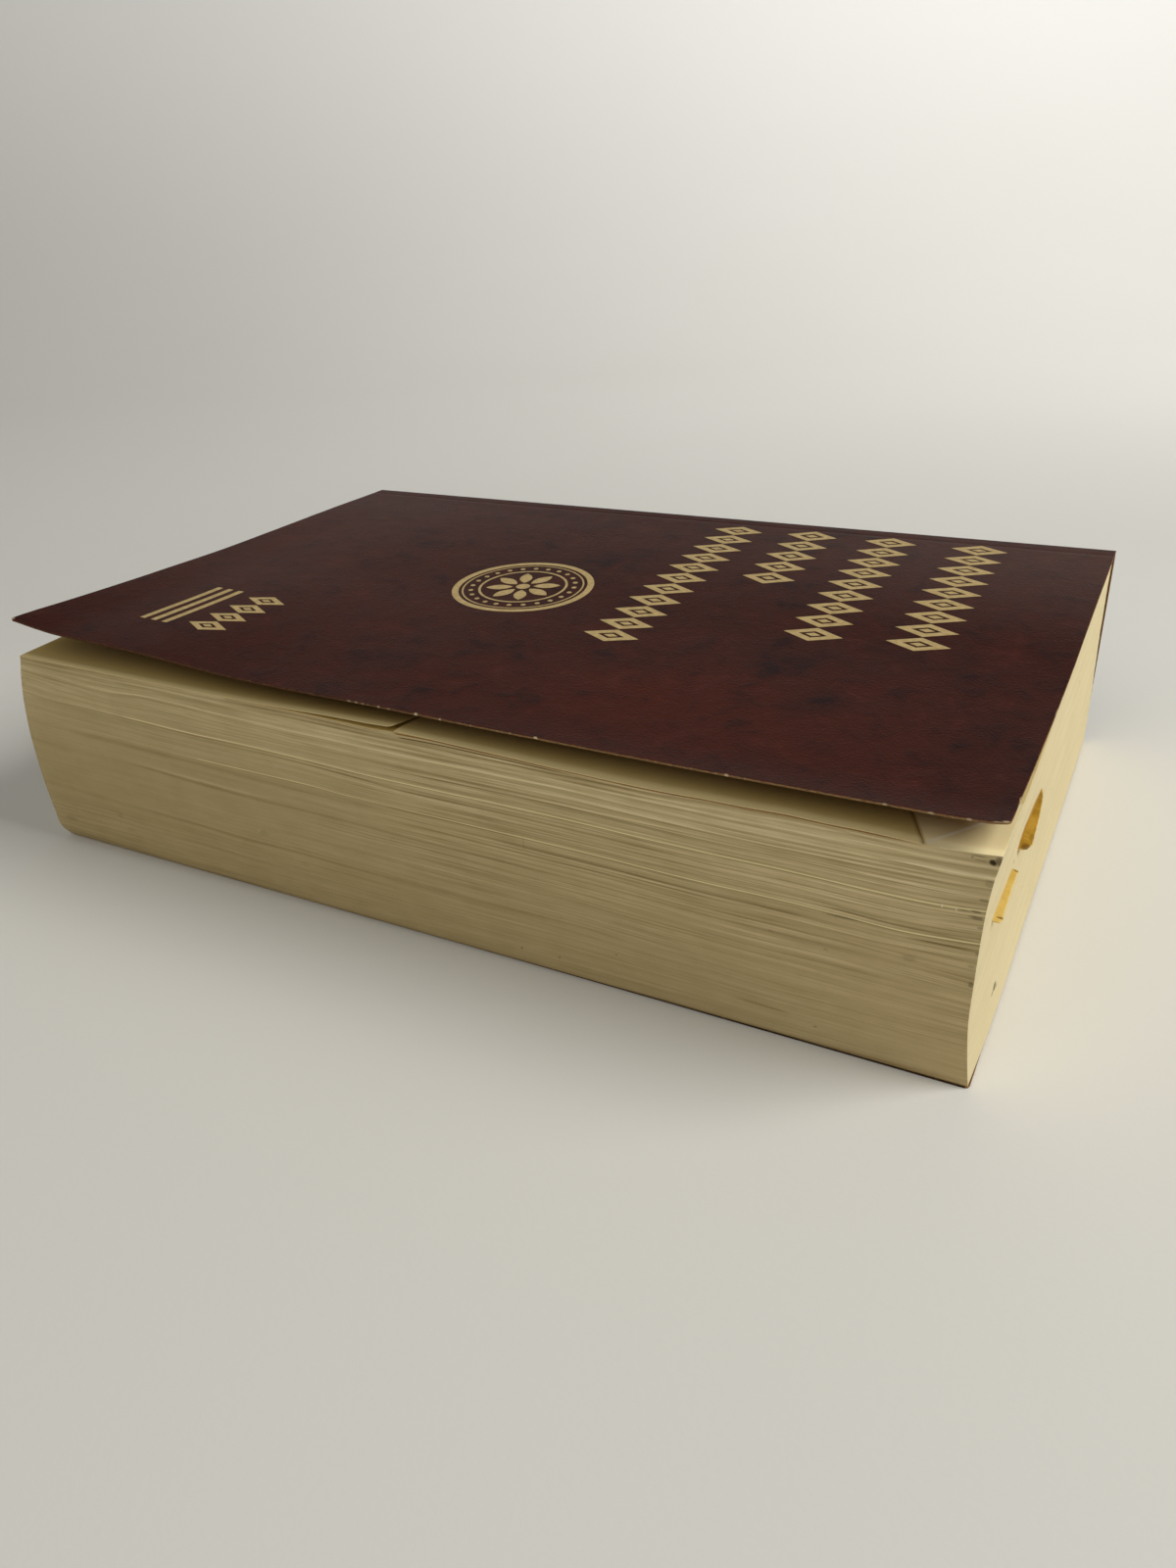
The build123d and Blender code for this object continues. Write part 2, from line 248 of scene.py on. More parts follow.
# ----- relief and tone of the fore-edge -----------------------------------------
# (points, half width, relief, tone, brown): bright edges stand out, dark ones lie back. The tone and brown are painted
# highlight on the edges that stand out and painted shade in and under those that lie back, beside the relief.
STRATA = [
    # under the first leaf: painted shade at its foot, and a painted highlight on the edge of the leaf below it
    ([(103.5, 47.26)] + [(x, z - 0.18) for x, z in STACK_EDGE if 105 < x < 204] + [(204.8, 46.52)], 0.17, -0.05, -0.04, 0.15),
    ([(58, 47.30), (80, 47.27), (90, 47.10), (98, 46.97), (103.5, 47.15)], 0.13, 0.05, 0.16),
    ([(59, 46.74), (70, 46.79), (80, 46.84), (90, 46.65), (98, 46.47), (104, 46.50)], 0.13, -0.08, -0.17, 0.5),
    ([(206, 46.66), (209, 46.77), (212, 46.92), (216, 47.24)], 0.12, 0.05, 0.20),
    # along the bottom: painted highlight on the lowest leaves and painted shade above the back cover
    ([(0, 1.05), (60, 1.0), (120, 0.98), (180, 1.05), (198, 1.25), (211, 1.3), (216, 1.1)], 0.17, 0.05, 0.09, 0.5),
    ([(150, 0.62), (194, 0.66), (198, 0.82), (208, 0.85), (213, 0.9)], 0.12, -0.06, -0.16, 0.4),
    ([(0, 0.55), (100, 0.52), (216, 0.50)], 0.14, -0.03, -0.10, 0.3),
    # near the top, below the first leaf
    ([(105.7, 46.94), (112.5, 46.97), (119, 46.79), (125.4, 46.60), (131.6, 46.41)], 0.12, 0.04, 0.07),
    ([(104.5, 46.72), (112.4, 46.54), (119, 46.37), (125.4, 46.40), (131.6, 46.23), (140, 46.12)], 0.17, -0.08, -0.05, 0.1),
    ([(105.6, 46.28), (112.4, 46.20), (118.9, 45.95), (125.3, 45.98), (131.6, 46.00), (137.7, 45.85), (145.6, 45.93), (153.3, 45.97),
      (160.8, 46.00), (168, 46.25), (175, 46.12), (181.8, 46.36), (188.4, 46.40), (195, 46.15), (203, 46.10)], 0.16, 0.05, 0.11),
    ([(60, 45.80), (70, 45.87), (80, 46.00), (90, 45.85), (98, 45.60), (105, 45.63), (112.3, 45.69), (118.8, 45.52), (125.3, 45.56),
      (131.5, 45.60), (137.7, 45.60), (145.6, 45.66), (153.3, 45.57), (160.7, 45.45), (168, 45.80), (175, 45.73), (181.8, 45.97),
      (188.4, 46.01), (196, 45.80), (204, 45.70)], 0.13, -0.07, -0.16),
    ([(90, 44.85), (98, 44.90), (103, 44.76), (118.7, 44.45), (131.4, 44.57), (145.5, 44.69), (153.2, 44.57), (160.7, 44.64),
      (168, 44.40), (175, 44.45), (188.5, 44.54), (195, 44.61)], 0.13, -0.05, -0.12),
    ([(4, 46.6), (30, 46.2), (60, 45.9), (90, 45.5)], 0.18, 0.03, 0.05),
    ([(10, 46.1), (40, 45.6), (70, 45.3)], 0.20, -0.02, -0.05),
    ([(150, 44.4), (175, 44.2), (205, 44.3), (214, 44.6)], 0.12, 0.05, 0.07),
    ([(150, 43.8), (175, 43.6), (200, 43.6), (214, 43.9)], 0.10, -0.04, -0.09),
    ([(90, 44.2), (120, 44.1), (150, 43.9)], 0.12, 0.05, 0.07),
    ([(90, 43.7), (120, 43.55), (150, 43.4)], 0.10, -0.03, -0.08),
    (LINE_E, 0.26, 0.08, 0.11),
    ([(196, 42.62), (199, 42.50), (207, 42.36)], 0.12, -0.12, -0.42),
    ([(100, 42.3), (140, 42.3), (170, 41.9), (196, 41.95)], 0.12, -0.04, -0.09),
    ([(60, 41.3), (100, 40.9), (140, 40.9), (180, 40.6), (214, 40.9)], 0.13, 0.04, 0.06),
    ([(60, 40.6), (100, 40.2), (140, 40.2), (180, 39.9), (214, 40.3)], 0.14, -0.03, -0.08),
    ([(104, 39.5), (141, 39.55), (160, 39.4), (175, 39.4), (190, 39.2), (200, 39.0), (208, 39.3), (214, 39.6)], 0.13, 0.06, 0.12),
    ([(104, 39.2), (141, 39.25), (160, 39.1), (175, 39.1), (190, 38.9), (200, 38.7), (208, 39.0)], 0.12, -0.06, -0.16),
    ([(70, 38.5), (100, 38.1), (140, 38.0), (180, 37.6), (212, 37.9)], 0.13, 0.03, 0.05),
    (LINE_D, 0.20, 0.09, 0.11),
    ([(0, 38.2), (15, 37.8), (35, 37.2), (60, 36.7), (80, 36.3)], 0.55, -0.05, -0.07),
    ([(66, 36.8), (75, 36.5), (90, 35.9), (103, 35.2), (115, 35.0), (145, 34.8), (155, 34.5), (172, 34.05)], 0.16, -0.11, -0.20),
    ([(174, 34.5), (180, 34.3), (195, 33.8), (205, 33.8), (213, 34.3)], 0.15, -0.08, -0.16),
    ([(80, 34.6), (110, 33.9), (150, 33.4), (180, 32.9), (212, 33.3)], 0.14, 0.04, 0.06),
    ([(90, 34.2), (115, 33.4), (150, 32.9), (180, 32.4), (212, 32.9)], 0.14, -0.04, -0.09),
    ([(100, 32.5), (140, 32.2), (180, 31.7), (212, 32.0)], 0.13, 0.03, 0.05),
    ([(110, 31.8), (150, 31.3), (190, 30.8)], 0.13, -0.03, -0.08),
    (LINE_C, 0.18, 0.08, 0.09),
    ([(10, 31.6), (30, 31.1), (50, 30.6), (75, 29.8), (100, 29.9), (140, 29.6)], 0.60, -0.05, -0.07),
    ([(60, 31.75), (70, 31.6), (82, 31.45), (100, 30.75), (120, 30.5)], 0.11, -0.09, -0.16),
    ([(186, 31.0), (192, 30.75), (200, 30.4), (208, 30.5), (215, 30.6)], 0.20, -0.04, -0.14),
    ([(110, 29.2), (130, 28.7), (141, 28.5), (150, 28.3), (160, 27.95), (178, 27.7), (184, 27.7)], 0.14, -0.08, -0.16),
    ([(177, 27.75), (185, 27.66)], 0.12, -0.08, -0.24),
    ([(204, 28.5), (209, 28.6), (214, 28.8)], 0.15, -0.06, -0.26),
    ([(190, 28.9), (200, 28.6), (206, 28.7)], 0.13, 0.03, 0.06),
    ([(30, 27.3), (40, 26.85), (50, 26.5), (60, 26.1), (75, 26.05)], 0.30, 0.05, 0.08),
    ([(150, 27.8), (160, 27.5), (180, 26.9), (200, 26.5), (213, 27.0)], 0.13, 0.05, 0.10),
    ([(150, 27.3), (180, 26.5), (200, 26.1), (213, 26.6)], 0.13, -0.03, -0.08),
    ([(170, 25.4), (190, 25.2), (213, 24.9)], 0.13, -0.03, -0.07),
    (LINE_B, 0.30, -0.06, -0.07),
    ([(155, 22.2), (165, 21.9), (178, 21.6), (195, 21.4), (208, 21.2), (213, 20.9)], 0.11, 0.06, 0.12),
    ([(140, 20.6), (155, 20.0), (165, 19.6), (172, 19.4), (185, 19.2), (205, 19.0), (214, 18.9)], 0.20, -0.06, -0.09),
    ([(160, 17.2), (185, 16.7), (212, 16.4)], 0.25, 0.02, 0.03),
    (LINE_A, 0.50, -0.06, -0.06),
    ([(8, 15.9), (30, 15.5), (60, 14.5), (100, 13.8)], 0.30, 0.03, 0.05),
    ([(174, 6.25), (184, 5.85)], 0.12, -0.10, -0.28),
    ([(40, 9.2), (80, 8.1), (120, 7.7)], 0.5, -0.01, -0.02),
    ([(100, 18.7), (140, 17.9)], 0.4, 0.01, 0.02),
]


def fore_relief(x, z, leaf):
    """Relief in mm and tone (1 is plain) of the fore-edge at x, height z and leaf."""
    relief, tone, brown = np.zeros_like(z), np.ones_like(z), np.zeros_like(z)
    for rows, half, high, dark, *more in STRATA:
        lo, hi = rows[0][0], rows[-1][0]
        long = hi - lo > 190
        fade = 1.0 if long else smoothstep((x - lo + 1.5) / min(14.0, 0.3 * (hi - lo) + 1.5)) * smoothstep(
            (hi + 1.5 - x) / min(14.0, 0.3 * (hi - lo) + 1.5))
        at = hermite(rows, x) + 0.06 * value_noise(x / 9.0, 3.0 + half * 7, 31)
        vary = 0.72 + 0.38 * value_noise(x / 13.0, 10 * half + 2 * high, 37)
        # no finer than the mesh can carry
        broad = np.maximum(half, np.where(z > 24.5, 0.165, 0.25) * np.where(z < 2.0, 0.4, 1.0))
        g = np.exp(-(((z - at) / broad) ** 2)) * fade * vary * (half / broad) ** 0.6
        relief += high * g
        # painted highlight and shade of the leaf edges
        tone += 2.6 * dark * g
        brown = np.maximum(brown, (more[0] if more else 0.0) * g)
        if high > 0:  # the shade just under a leaf that stands out
            under = np.exp(-(((z - at + 1.9 * half) / (1.1 * half)) ** 2)) * fade * vary
            relief -= 0.35 * high * under
            tone -= 0.9 * dark * under
    # where single leaves show: towards the head and the top
    seen = 0.22 + 0.78 * smoothstep((x - 25) / 110.0) * (0.28 + 0.72 * smoothstep((z - 8) / 20.0))
    tail = smoothstep((120 - x) / 60.0)
    seen = seen * (1 - 0.60 * tail * smoothstep((z - 15) / 5.0)) + 0.20 * tail * smoothstep((14 - z) / 5.0)
    seen = np.maximum(seen, 0.45 * smoothstep((z - 28) / 8.0))
    seen = np.maximum(seen, 0.90 * smoothstep((z - 36) / 7.0))
    fine = value_noise(leaf / 0.13, x / 46.0, 5)
    pair = value_noise(leaf / 0.31, x / 55.0, 6)
    group = value_noise(leaf / 0.9, x / 70.0, 7)
    wide = value_noise(leaf / 3.1, x / 90.0, 8)
    relief += seen * (0.016 * fine + 0.022 * pair + 0.020 * group) + 0.03 * wide
    tone += seen * (0.095 * fine + 0.115 * pair + 0.065 * group) + 0.018 * wide
    return relief, tone, seen, brown


# ----- mesh builder ------------------------------------------------------------
class Builder:
    def __init__(self, *attributes):
        self.names = attributes
        self.points, self.values = [], []
        self.faces, self.kinds, self.count = [], [], 0

    def add(self, points, **values):
        points = np.asarray(points, float).reshape(-1, 3)
        first = self.count
        self.points.append(points)
        self.values.append(np.stack([
            np.broadcast_to(np.asarray(values.get(n, 1.0 if n == "tone" else 0.0), float).reshape(-1), len(points))
            if np.asarray(values.get(n, 0.0)).size == 1 else np.asarray(values[n], float).reshape(-1)
            for n in self.names], -1) if self.names else np.zeros((len(points), 0)))
        self.count += len(points)
        return first

    def grid(self, points, kind=0, **values):
        rows, cols = points.shape[:2]
        first = self.add(points, **values)
        at = first + np.arange(rows * cols).reshape(rows, cols)
        quads = np.stack([at[:-1, :-1], at[1:, :-1], at[1:, 1:], at[:-1, 1:]], -1).reshape(-1, 4)
        self.faces.extend(quads.tolist())
        self.kinds.extend([kind] * len(quads) if np.isscalar(kind) else np.asarray(kind).reshape(-1).tolist())
        return at

    def polygon(self, points, kind=0, **values):
        first = self.add(points, **values)
        self.faces.append(list(range(first, first + len(points))))
        self.kinds.append(kind)

    def write(self, name, materials, sharp=None, weld=2e-4):
        points = np.concatenate(self.points)
        values = np.concatenate(self.values)
        key = np.round(points / weld).astype(np.int64)
        _, first, back = np.unique(key, axis=0, return_index=True, return_inverse=True)
        back = back.reshape(-1)
        faces, kinds = [], []
        for face, kind in zip(self.faces, self.kinds):
            loop = []
            for v in back[face]:
                if not loop or v != loop[-1]:
                    loop.append(int(v))
            if loop[0] == loop[-1]:
                loop.pop()
            if len(set(loop)) == len(loop) >= 3:
                faces.append(loop)
                kinds.append(kind)
        points, values = points[first], values[first]
        mesh = bpy.data.meshes.new(name)
        mesh.from_pydata(((points - [X_MID, Y_MID, 0.0]) * 0.001).tolist(), [], faces)
        for m in materials:
            mesh.materials.append(m)
        mesh.polygons.foreach_set("material_index", kinds)
        mesh.polygons.foreach_set("use_smooth", [True] * len(kinds))
        for k, n in enumerate(self.names):
            mesh.attributes.new(n, "FLOAT", "POINT").data.foreach_set("value", values[:, k].astype(np.float32))
        work = bmesh.new()
        work.from_mesh(mesh)
        bmesh.ops.recalc_face_normals(work, faces=work.faces)
        if sharp is not None:
            for e in work.edges:
                if len(e.link_faces) == 2 and e.calc_face_angle(0.0) > sharp:
                    e.smooth = False
        work.to_mesh(mesh)
        work.free()
        mesh.update()
        obj = bpy.data.objects.new(name, mesh)
        bpy.context.scene.collection.objects.link(obj)
        return obj


# ----- materials ----------------------------------------------------------------
def srgb(r, g, b):
    """Linear colour of an sRGB colour in 0..255."""
    out = []
    for c in (r, g, b):
        c = c / 255.0
        out.append(c / 12.92 if c <= 0.04045 else ((c + 0.055) / 1.055) ** 2.4)
    return (*out, 1.0)


class Look:
    """A small writer of node materials."""

    def __init__(self, name):
        self.material = bpy.data.materials.new(name)
        self.material.use_nodes = True
        self.tree = self.material.node_tree
        self.tree.nodes.clear()
        out = self.tree.nodes.new("ShaderNodeOutputMaterial")
        self.bsdf = self.tree.nodes.new("ShaderNodeBsdfPrincipled")
        self.tree.links.new(self.bsdf.outputs[0], out.inputs[0])
        place = self.tree.nodes.new("ShaderNodeTexCoord")
        self.mm = self.vector("MULTIPLY_ADD", place.outputs["Object"], (1000.0,) * 3, (X_MID, Y_MID, 0.0))
        parts = self.tree.nodes.new("ShaderNodeSeparateXYZ")
        self.tree.links.new(self.mm, parts.inputs[0])
        self.x, self.y, self.z = parts.outputs

    def put(self, socket, value):
        if isinstance(value, bpy.types.NodeSocket):
            self.tree.links.new(value, socket)
        else:
            socket.default_value = value

    def math(self, kind, *values, clamp=False):
        n = self.tree.nodes.new("ShaderNodeMath")
        n.operation, n.use_clamp = kind, clamp
        for socket, v in zip(n.inputs, values):
            self.put(socket, v)
        return n.outputs[0]

    def vector(self, kind, *values):
        n = self.tree.nodes.new("ShaderNodeVectorMath")
        n.operation = kind
        if kind == "SCALE":
            self.put(n.inputs[0], values[0])
            self.put(n.inputs[3], values[1])
            return n.outputs[0]
        for socket, v in zip(n.inputs, values):
            self.put(socket, v)
        return n.outputs[1 if kind in ("LENGTH", "DOT_PRODUCT", "DISTANCE") else 0]

    def combine(self, x, y, z):
        n = self.tree.nodes.new("ShaderNodeCombineXYZ")
        for socket, v in zip(n.inputs, (x, y, z)):
            self.put(socket, v)
        return n.outputs[0]

    def attribute(self, name):
        n = self.tree.nodes.new("ShaderNodeAttribute")
        n.attribute_type, n.attribute_name = "GEOMETRY", name
        return n.outputs["Fac"]

    def noise(self, at, scale=1.0, detail=2.0, rough=0.5, distort=0.0):
        n = self.tree.nodes.new("ShaderNodeTexNoise")
        self.put(n.inputs["Vector"], at)
        n.inputs["Scale"].default_value = scale
        n.inputs["Detail"].default_value = detail
        n.inputs["Roughness"].default_value = rough
        n.inputs["Distortion"].default_value = distort
        return n.outputs["Fac"]

    def cells(self, at, scale=1.0, feature="F1"):
        n = self.tree.nodes.new("ShaderNodeTexVoronoi")
        n.feature = feature
        self.put(n.inputs["Vector"], at)
        n.inputs["Scale"].default_value = scale
        return n.outputs["Distance"]

    def span(self, value, low, high, to_low=0.0, to_high=1.0):
        n = self.tree.nodes.new("ShaderNodeMapRange")
        n.interpolation_type, n.clamp = "SMOOTHSTEP", True
        for name, v in (("Value", value), ("From Min", low), ("From Max", high), ("To Min", to_low), ("To Max", to_high)):
            self.put(n.inputs[name], v)
        return n.outputs[0]

    def mix(self, factor, a, b, blend="MIX"):
        n = self.tree.nodes.new("ShaderNodeMix")
        n.data_type, n.blend_type = "RGBA", blend
        self.put(n.inputs[0], factor)
        self.put(n.inputs[6], a)
        self.put(n.inputs[7], b)
        return n.outputs[2]

    def gain(self, colour, k, power=(0.92, 1.05, 1.35)):
        """colour times k, with its shadows a little warmer."""
        r, g, b = (self.math("MULTIPLY", c, self.math("POWER", k, p)) for c, p in zip(colour[:3], power))
        return self.combine(r, g, b)

    def spots(self, rows, axes=(1, 0, 1), wobble=0.35):
        """Soft marks: rows of (x, y, z, radius, radius, strength), radii along the two used axes."""
        rough = self.math("MULTIPLY_ADD", self.noise(self.mm, 1.6, 2.0), wobble * 2, -wobble)
        total = None
        for x, y, z, ra, rb, strength in rows:
            radii = [ra, rb]
            scale = [1.0 / radii.pop(0) if used else 0.0 for used in axes]
            away = self.vector("MULTIPLY", self.vector("SUBTRACT", self.mm, (x, y, z)), tuple(scale))
            d = self.math("ADD", self.vector("LENGTH", away), rough)
            one = self.span(d, 1.15, 0.45, 0.0, strength)
            total = one if total is None else self.math("MAXIMUM", total, one)
        return total

    def bump(self, *heights):
        """heights: (value, distance in mm) pairs, chained."""
        normal = None
        for value, distance in heights:
            n = self.tree.nodes.new("ShaderNodeBump")
            n.inputs["Strength"].default_value = 1.0
            n.inputs["Distance"].default_value = distance * 0.001
            self.put(n.inputs["Height"], value)
            if normal is not None:
                self.tree.links.new(normal, n.inputs["Normal"])
            normal = n.outputs[0]
        self.tree.links.new(normal, self.bsdf.inputs["Normal"])

    def finish(self, colour, roughness, specular=0.3):
        self.put(self.bsdf.inputs["Base Color"], colour)
        self.put(self.bsdf.inputs["Roughness"], roughness)
        self.bsdf.inputs["Specular IOR Level"].default_value = specular
        return self.material


FORE_PAPER = srgb(193, 172, 125)
HEAD_PAPER = srgb(225, 210, 168)
PAGE_PAPER = srgb(224, 202, 142)
STAIN = srgb(58, 46, 26)


def edge_look(name, colour, dark=None, pale=None, axes=(1, 0, 1), contrast=1.0, ochre_tinge=None, lines=None):
    """Cut edges of many leaves: fine lines that follow the leaves, soft dirt and specks."""
    k = Look(name)
    leaf, tone, seen, brown = (k.attribute(n) for n in ("leaf", "tone", "seen", "brown"))
    fine = k.noise(k.combine(k.math("MULTIPLY", k.x, 0.030), k.math("MULTIPLY", k.y, 0.030), k.math("MULTIPLY", leaf, 2.8)), 1.0, 3.0, 0.66)
    band = k.noise(k.combine(k.math("MULTIPLY", k.x, 0.012), k.math("MULTIPLY", k.y, 0.012), k.math("MULTIPLY", leaf, 1.15)), 1.0, 2.0, 0.55)
    cloud = k.noise(k.mm, 0.045, 2.0)
    tooth = k.noise(k.mm, 2.6, 2.0, 0.6)
    # short darker streaks along single leaves
    dash = k.noise(k.combine(k.math("MULTIPLY", k.x, 0.22), k.math("MULTIPLY", k.y, 0.22), k.math("MULTIPLY", leaf, 7.0)), 1.0, 1.0, 0.5)
    g = k.math("MULTIPLY", tone, k.math("ADD", 1.0, k.math("MULTIPLY", k.math("SUBTRACT", fine, 0.5), k.math("MULTIPLY", seen, 1.65 * contrast))))
    g = k.math("MULTIPLY", g, k.math("MULTIPLY_ADD", band, 0.18 * contrast, 1.0 - 0.09 * contrast))
    g = k.math("MULTIPLY", g, k.math("MULTIPLY_ADD", cloud, 0.10, 0.95))
    g = k.math("MULTIPLY", g, k.math("MULTIPLY_ADD", tooth, 0.10, 0.95))
    soil = k.noise(k.vector("MULTIPLY", k.mm, (0.6, 1.0, 1.3)), 0.22, 3.0, 0.6, 0.3)
    g = k.math("MULTIPLY", g, k.math("MULTIPLY_ADD", k.span(soil, 0.30, 0.75), -0.08 * contrast, 1.0 + 0.03 * contrast))
    streak = k.math("MULTIPLY", k.span(dash, 0.70, 0.82), k.math("MULTIPLY", seen, 0.10 * contrast))
    g = k.math("SUBTRACT", g, streak)
    base = k.gain(colour, g)
    base = k.mix(k.math("MULTIPLY", brown, 0.70), base, srgb(138, 90, 40))
    # lines drawn in their own colours: painted highlights along leaf edges and painted shadows under them
    for level, slope, half, x0, x1, strength, shade in lines or []:
        at = k.math("MULTIPLY_ADD", k.math("SUBTRACT", k.x, x0), slope, level)
        d = k.math("ABSOLUTE", k.math("ADD", k.math("SUBTRACT", leaf, at), k.math("MULTIPLY", k.math("SUBTRACT", cloud, 0.5), 0.05)))
        on = k.math("MULTIPLY", k.span(k.x, x0, x0 + 2.0), k.span(k.x, x1, x1 - 8.0))
        base = k.mix(k.math("MULTIPLY", k.math("MULTIPLY", k.span(d, half, 0.3 * half), on), strength), base, shade)
    for y, z, ry, rz, strength in ochre_tinge or []:
        d = k.vector("LENGTH", k.combine(0.0, k.math("MULTIPLY", k.math("SUBTRACT", k.y, y), 1.0 / ry), k.math("MULTIPLY", k.math("SUBTRACT", k.z, z), 1.0 / rz)))
        base = k.mix(k.span(k.math("MULTIPLY_ADD", tooth, 0.3, k.math("SUBTRACT", d, 0.15)), 1.05, 0.55, 0.0, strength), base, srgb(186, 138, 52))
    if dark:
        base = k.mix(k.spots(dark, axes), base, STAIN)
    if pale:
        base = k.mix(k.spots(pale, axes, 0.2), base, srgb(250, 240, 210))
    k.bump((k.math("MULTIPLY", fine, k.math("MULTIPLY_ADD", seen, 0.8, 0.2)), 0.05), (tooth, 0.03))
    return k.finish(base, k.math("MULTIPLY_ADD", tooth, 0.1, 0.82), 0.12)


fore_dark = [
    # x, y, z, radius along x, radius along z, strength
    (128.8, 0, 4.2, 0.38, 0.28, 0.50), (137.3, 0, 4.4, 0.36, 0.26, 0.40), (149.8, 0, 8.8, 0.34, 0.26, 0.40),
    (189.0, 0, 4.5, 0.34, 0.24, 0.38), (180.0, 0, 23.0, 0.5, 0.24, 0.22), (190.0, 0, 22.0, 0.5, 0.24, 0.22),
    (66.0, 0, 16.7, 1.6, 0.9, 0.10), (22.0, 0, 11.3, 1.1, 0.8, 0.11), (24.5, 0, 8.1, 1.5, 0.6, 0.10),
    (76.0, 0, 11.1, 1.3, 0.8, 0.09), (4.6, 0, 6.8, 2.3, 0.8, 0.14), (204.0, 0, 24.3, 1.5, 0.8, 0.16),
    (192.5, 0, 29.4, 3.2, 0.35, 0.42), (195.0, 0, 30.9, 5.5, 0.40, 0.20),
    (215.05, 0, 45.9, 0.70, 0.62, 0.97), (215.9, 0, 46.3, 0.9, 0.9, 0.60), (213.0, 0, 46.55, 1.3, 0.20, 0.35),
    (211.9, 0, 46.2, 0.25, 0.45, 0.30), (213.3, 0, 45.85, 1.3, 0.18, 0.30),
    (213.5, 0, 36.35, 1.0, 0.30, 0.50), (213.7, 0, 35.2, 1.2, 0.38, 0.50), (211.6, 0, 36.1, 1.0, 0.22, 0.30),
    (214.2, 0, 22.0, 0.5, 0.6, 0.45), (214.5, 0, 38.7, 0.9, 0.30, 0.35), (214.6, 0, 33.4, 0.8, 0.35, 0.32),
    (214.8, 0, 28.4, 0.7, 0.5, 0.30), (213.9, 0, 25.6, 0.6, 0.4, 0.22), (215.0, 0, 42.0, 0.9, 0.9, 0.22),
    (131.3, 0, 29.5, 0.22, 1.7, 0.14),
]
fore_pale = [(208.3, 0, 36.05, 0.16, 0.45, 0.75), (210.5, 0, 35.95, 0.16, 0.40, 0.55), (64.8, 0, 17.0, 0.5, 0.3, 0.22)]
head_dark = [
    # y and z radii
    (0, 21.0, 6.6, 1.5, 0.85, 0.80), (0, 19.2, 6.4, 1.0, 0.45, 0.55), (0, 22.6, 5.7, 1.0, 0.4, 0.35), (0, 5.1, 46.2, 0.5, 0.9, 0.35),
    (0, 3.6, 45.6, 1.7, 0.5, 0.22), (0, 1.6, 44.6, 0.8, 0.6, 0.22), (0, 28.6, 28.9, 0.6, 0.35, 0.65),
    (0, 74.0, 20.0, 0.7, 0.4, 0.22), (0, 47.0, 12.0, 0.7, 0.4, 0.18), (0, 101.0, 33.0, 0.9, 0.5, 0.18),
]
# painted highlights along leaf edges that stand out, painted shadows under them and under the first leaf: leaf, its
# change along x, half width, from x, to x, strength, colour
fore_lit_and_shaded_lines = [(47.31, 0.0, 0.150, 103.0, 205.5, 0.85, srgb(140, 96, 38)), (46.91, 0.0035, 0.100, 104.0, 144.0, 0.85, srgb(84, 62, 26)),
              (47.10, 0.0, 0.07, 160.0, 203.0, 0.40, srgb(120, 90, 42)), (47.27, 0.0, 0.08, 60.0, 105.0, 0.55, srgb(128, 98, 44)),
              (39.50, 0.0, 0.150, 30.0, 222.0, 0.85, srgb(250, 233, 176)), (39.27, 0.0, 0.120, 80.0, 222.0, 0.40, srgb(118, 98, 60)),
              (33.60, 0.0, 0.140, 50.0, 222.0, 0.80, srgb(250, 233, 176)), (33.40, 0.0, 0.110, 100.0, 222.0, 0.32, srgb(118, 98, 60)),
              (44.90, 0.0, 0.120, 20.0, 222.0, 0.45, srgb(240, 223, 172)), (41.75, 0.0, 0.110, 100.0, 222.0, 0.42, srgb(236, 219, 168)),
              (41.57, 0.0, 0.090, 100.0, 216.0, 0.34, srgb(118, 98, 60)), (36.70, 0.0, 0.100, 120.0, 222.0, 0.30, srgb(232, 216, 166)),
              (31.10, 0.0, 0.100, 140.0, 222.0, 0.36, srgb(232, 216, 166)), (24.60, 0.0, 0.110, 150.0, 222.0, 0.28, srgb(224, 208, 160))]
fore_paper = edge_look("leaf_fore_edge", FORE_PAPER, fore_dark, fore_pale, (1, 0, 1), lines=fore_lit_and_shaded_lines)
# ochre tinge on the leaves above the long tab: y, z, half length, half height, strength
head_ochre_tinge = [(43.5, 29.5, 12.5, 2.0, 0.9), (37.0, 29.6, 6.5, 2.3, 0.9)]
head_paper = edge_look("leaf_head_edge", HEAD_PAPER, head_dark, None, (0, 1, 1), 0.28, head_ochre_tinge)
tail_paper = edge_look("leaf_tail_edge", HEAD_PAPER, None, None, (0, 1, 1), 0.7)


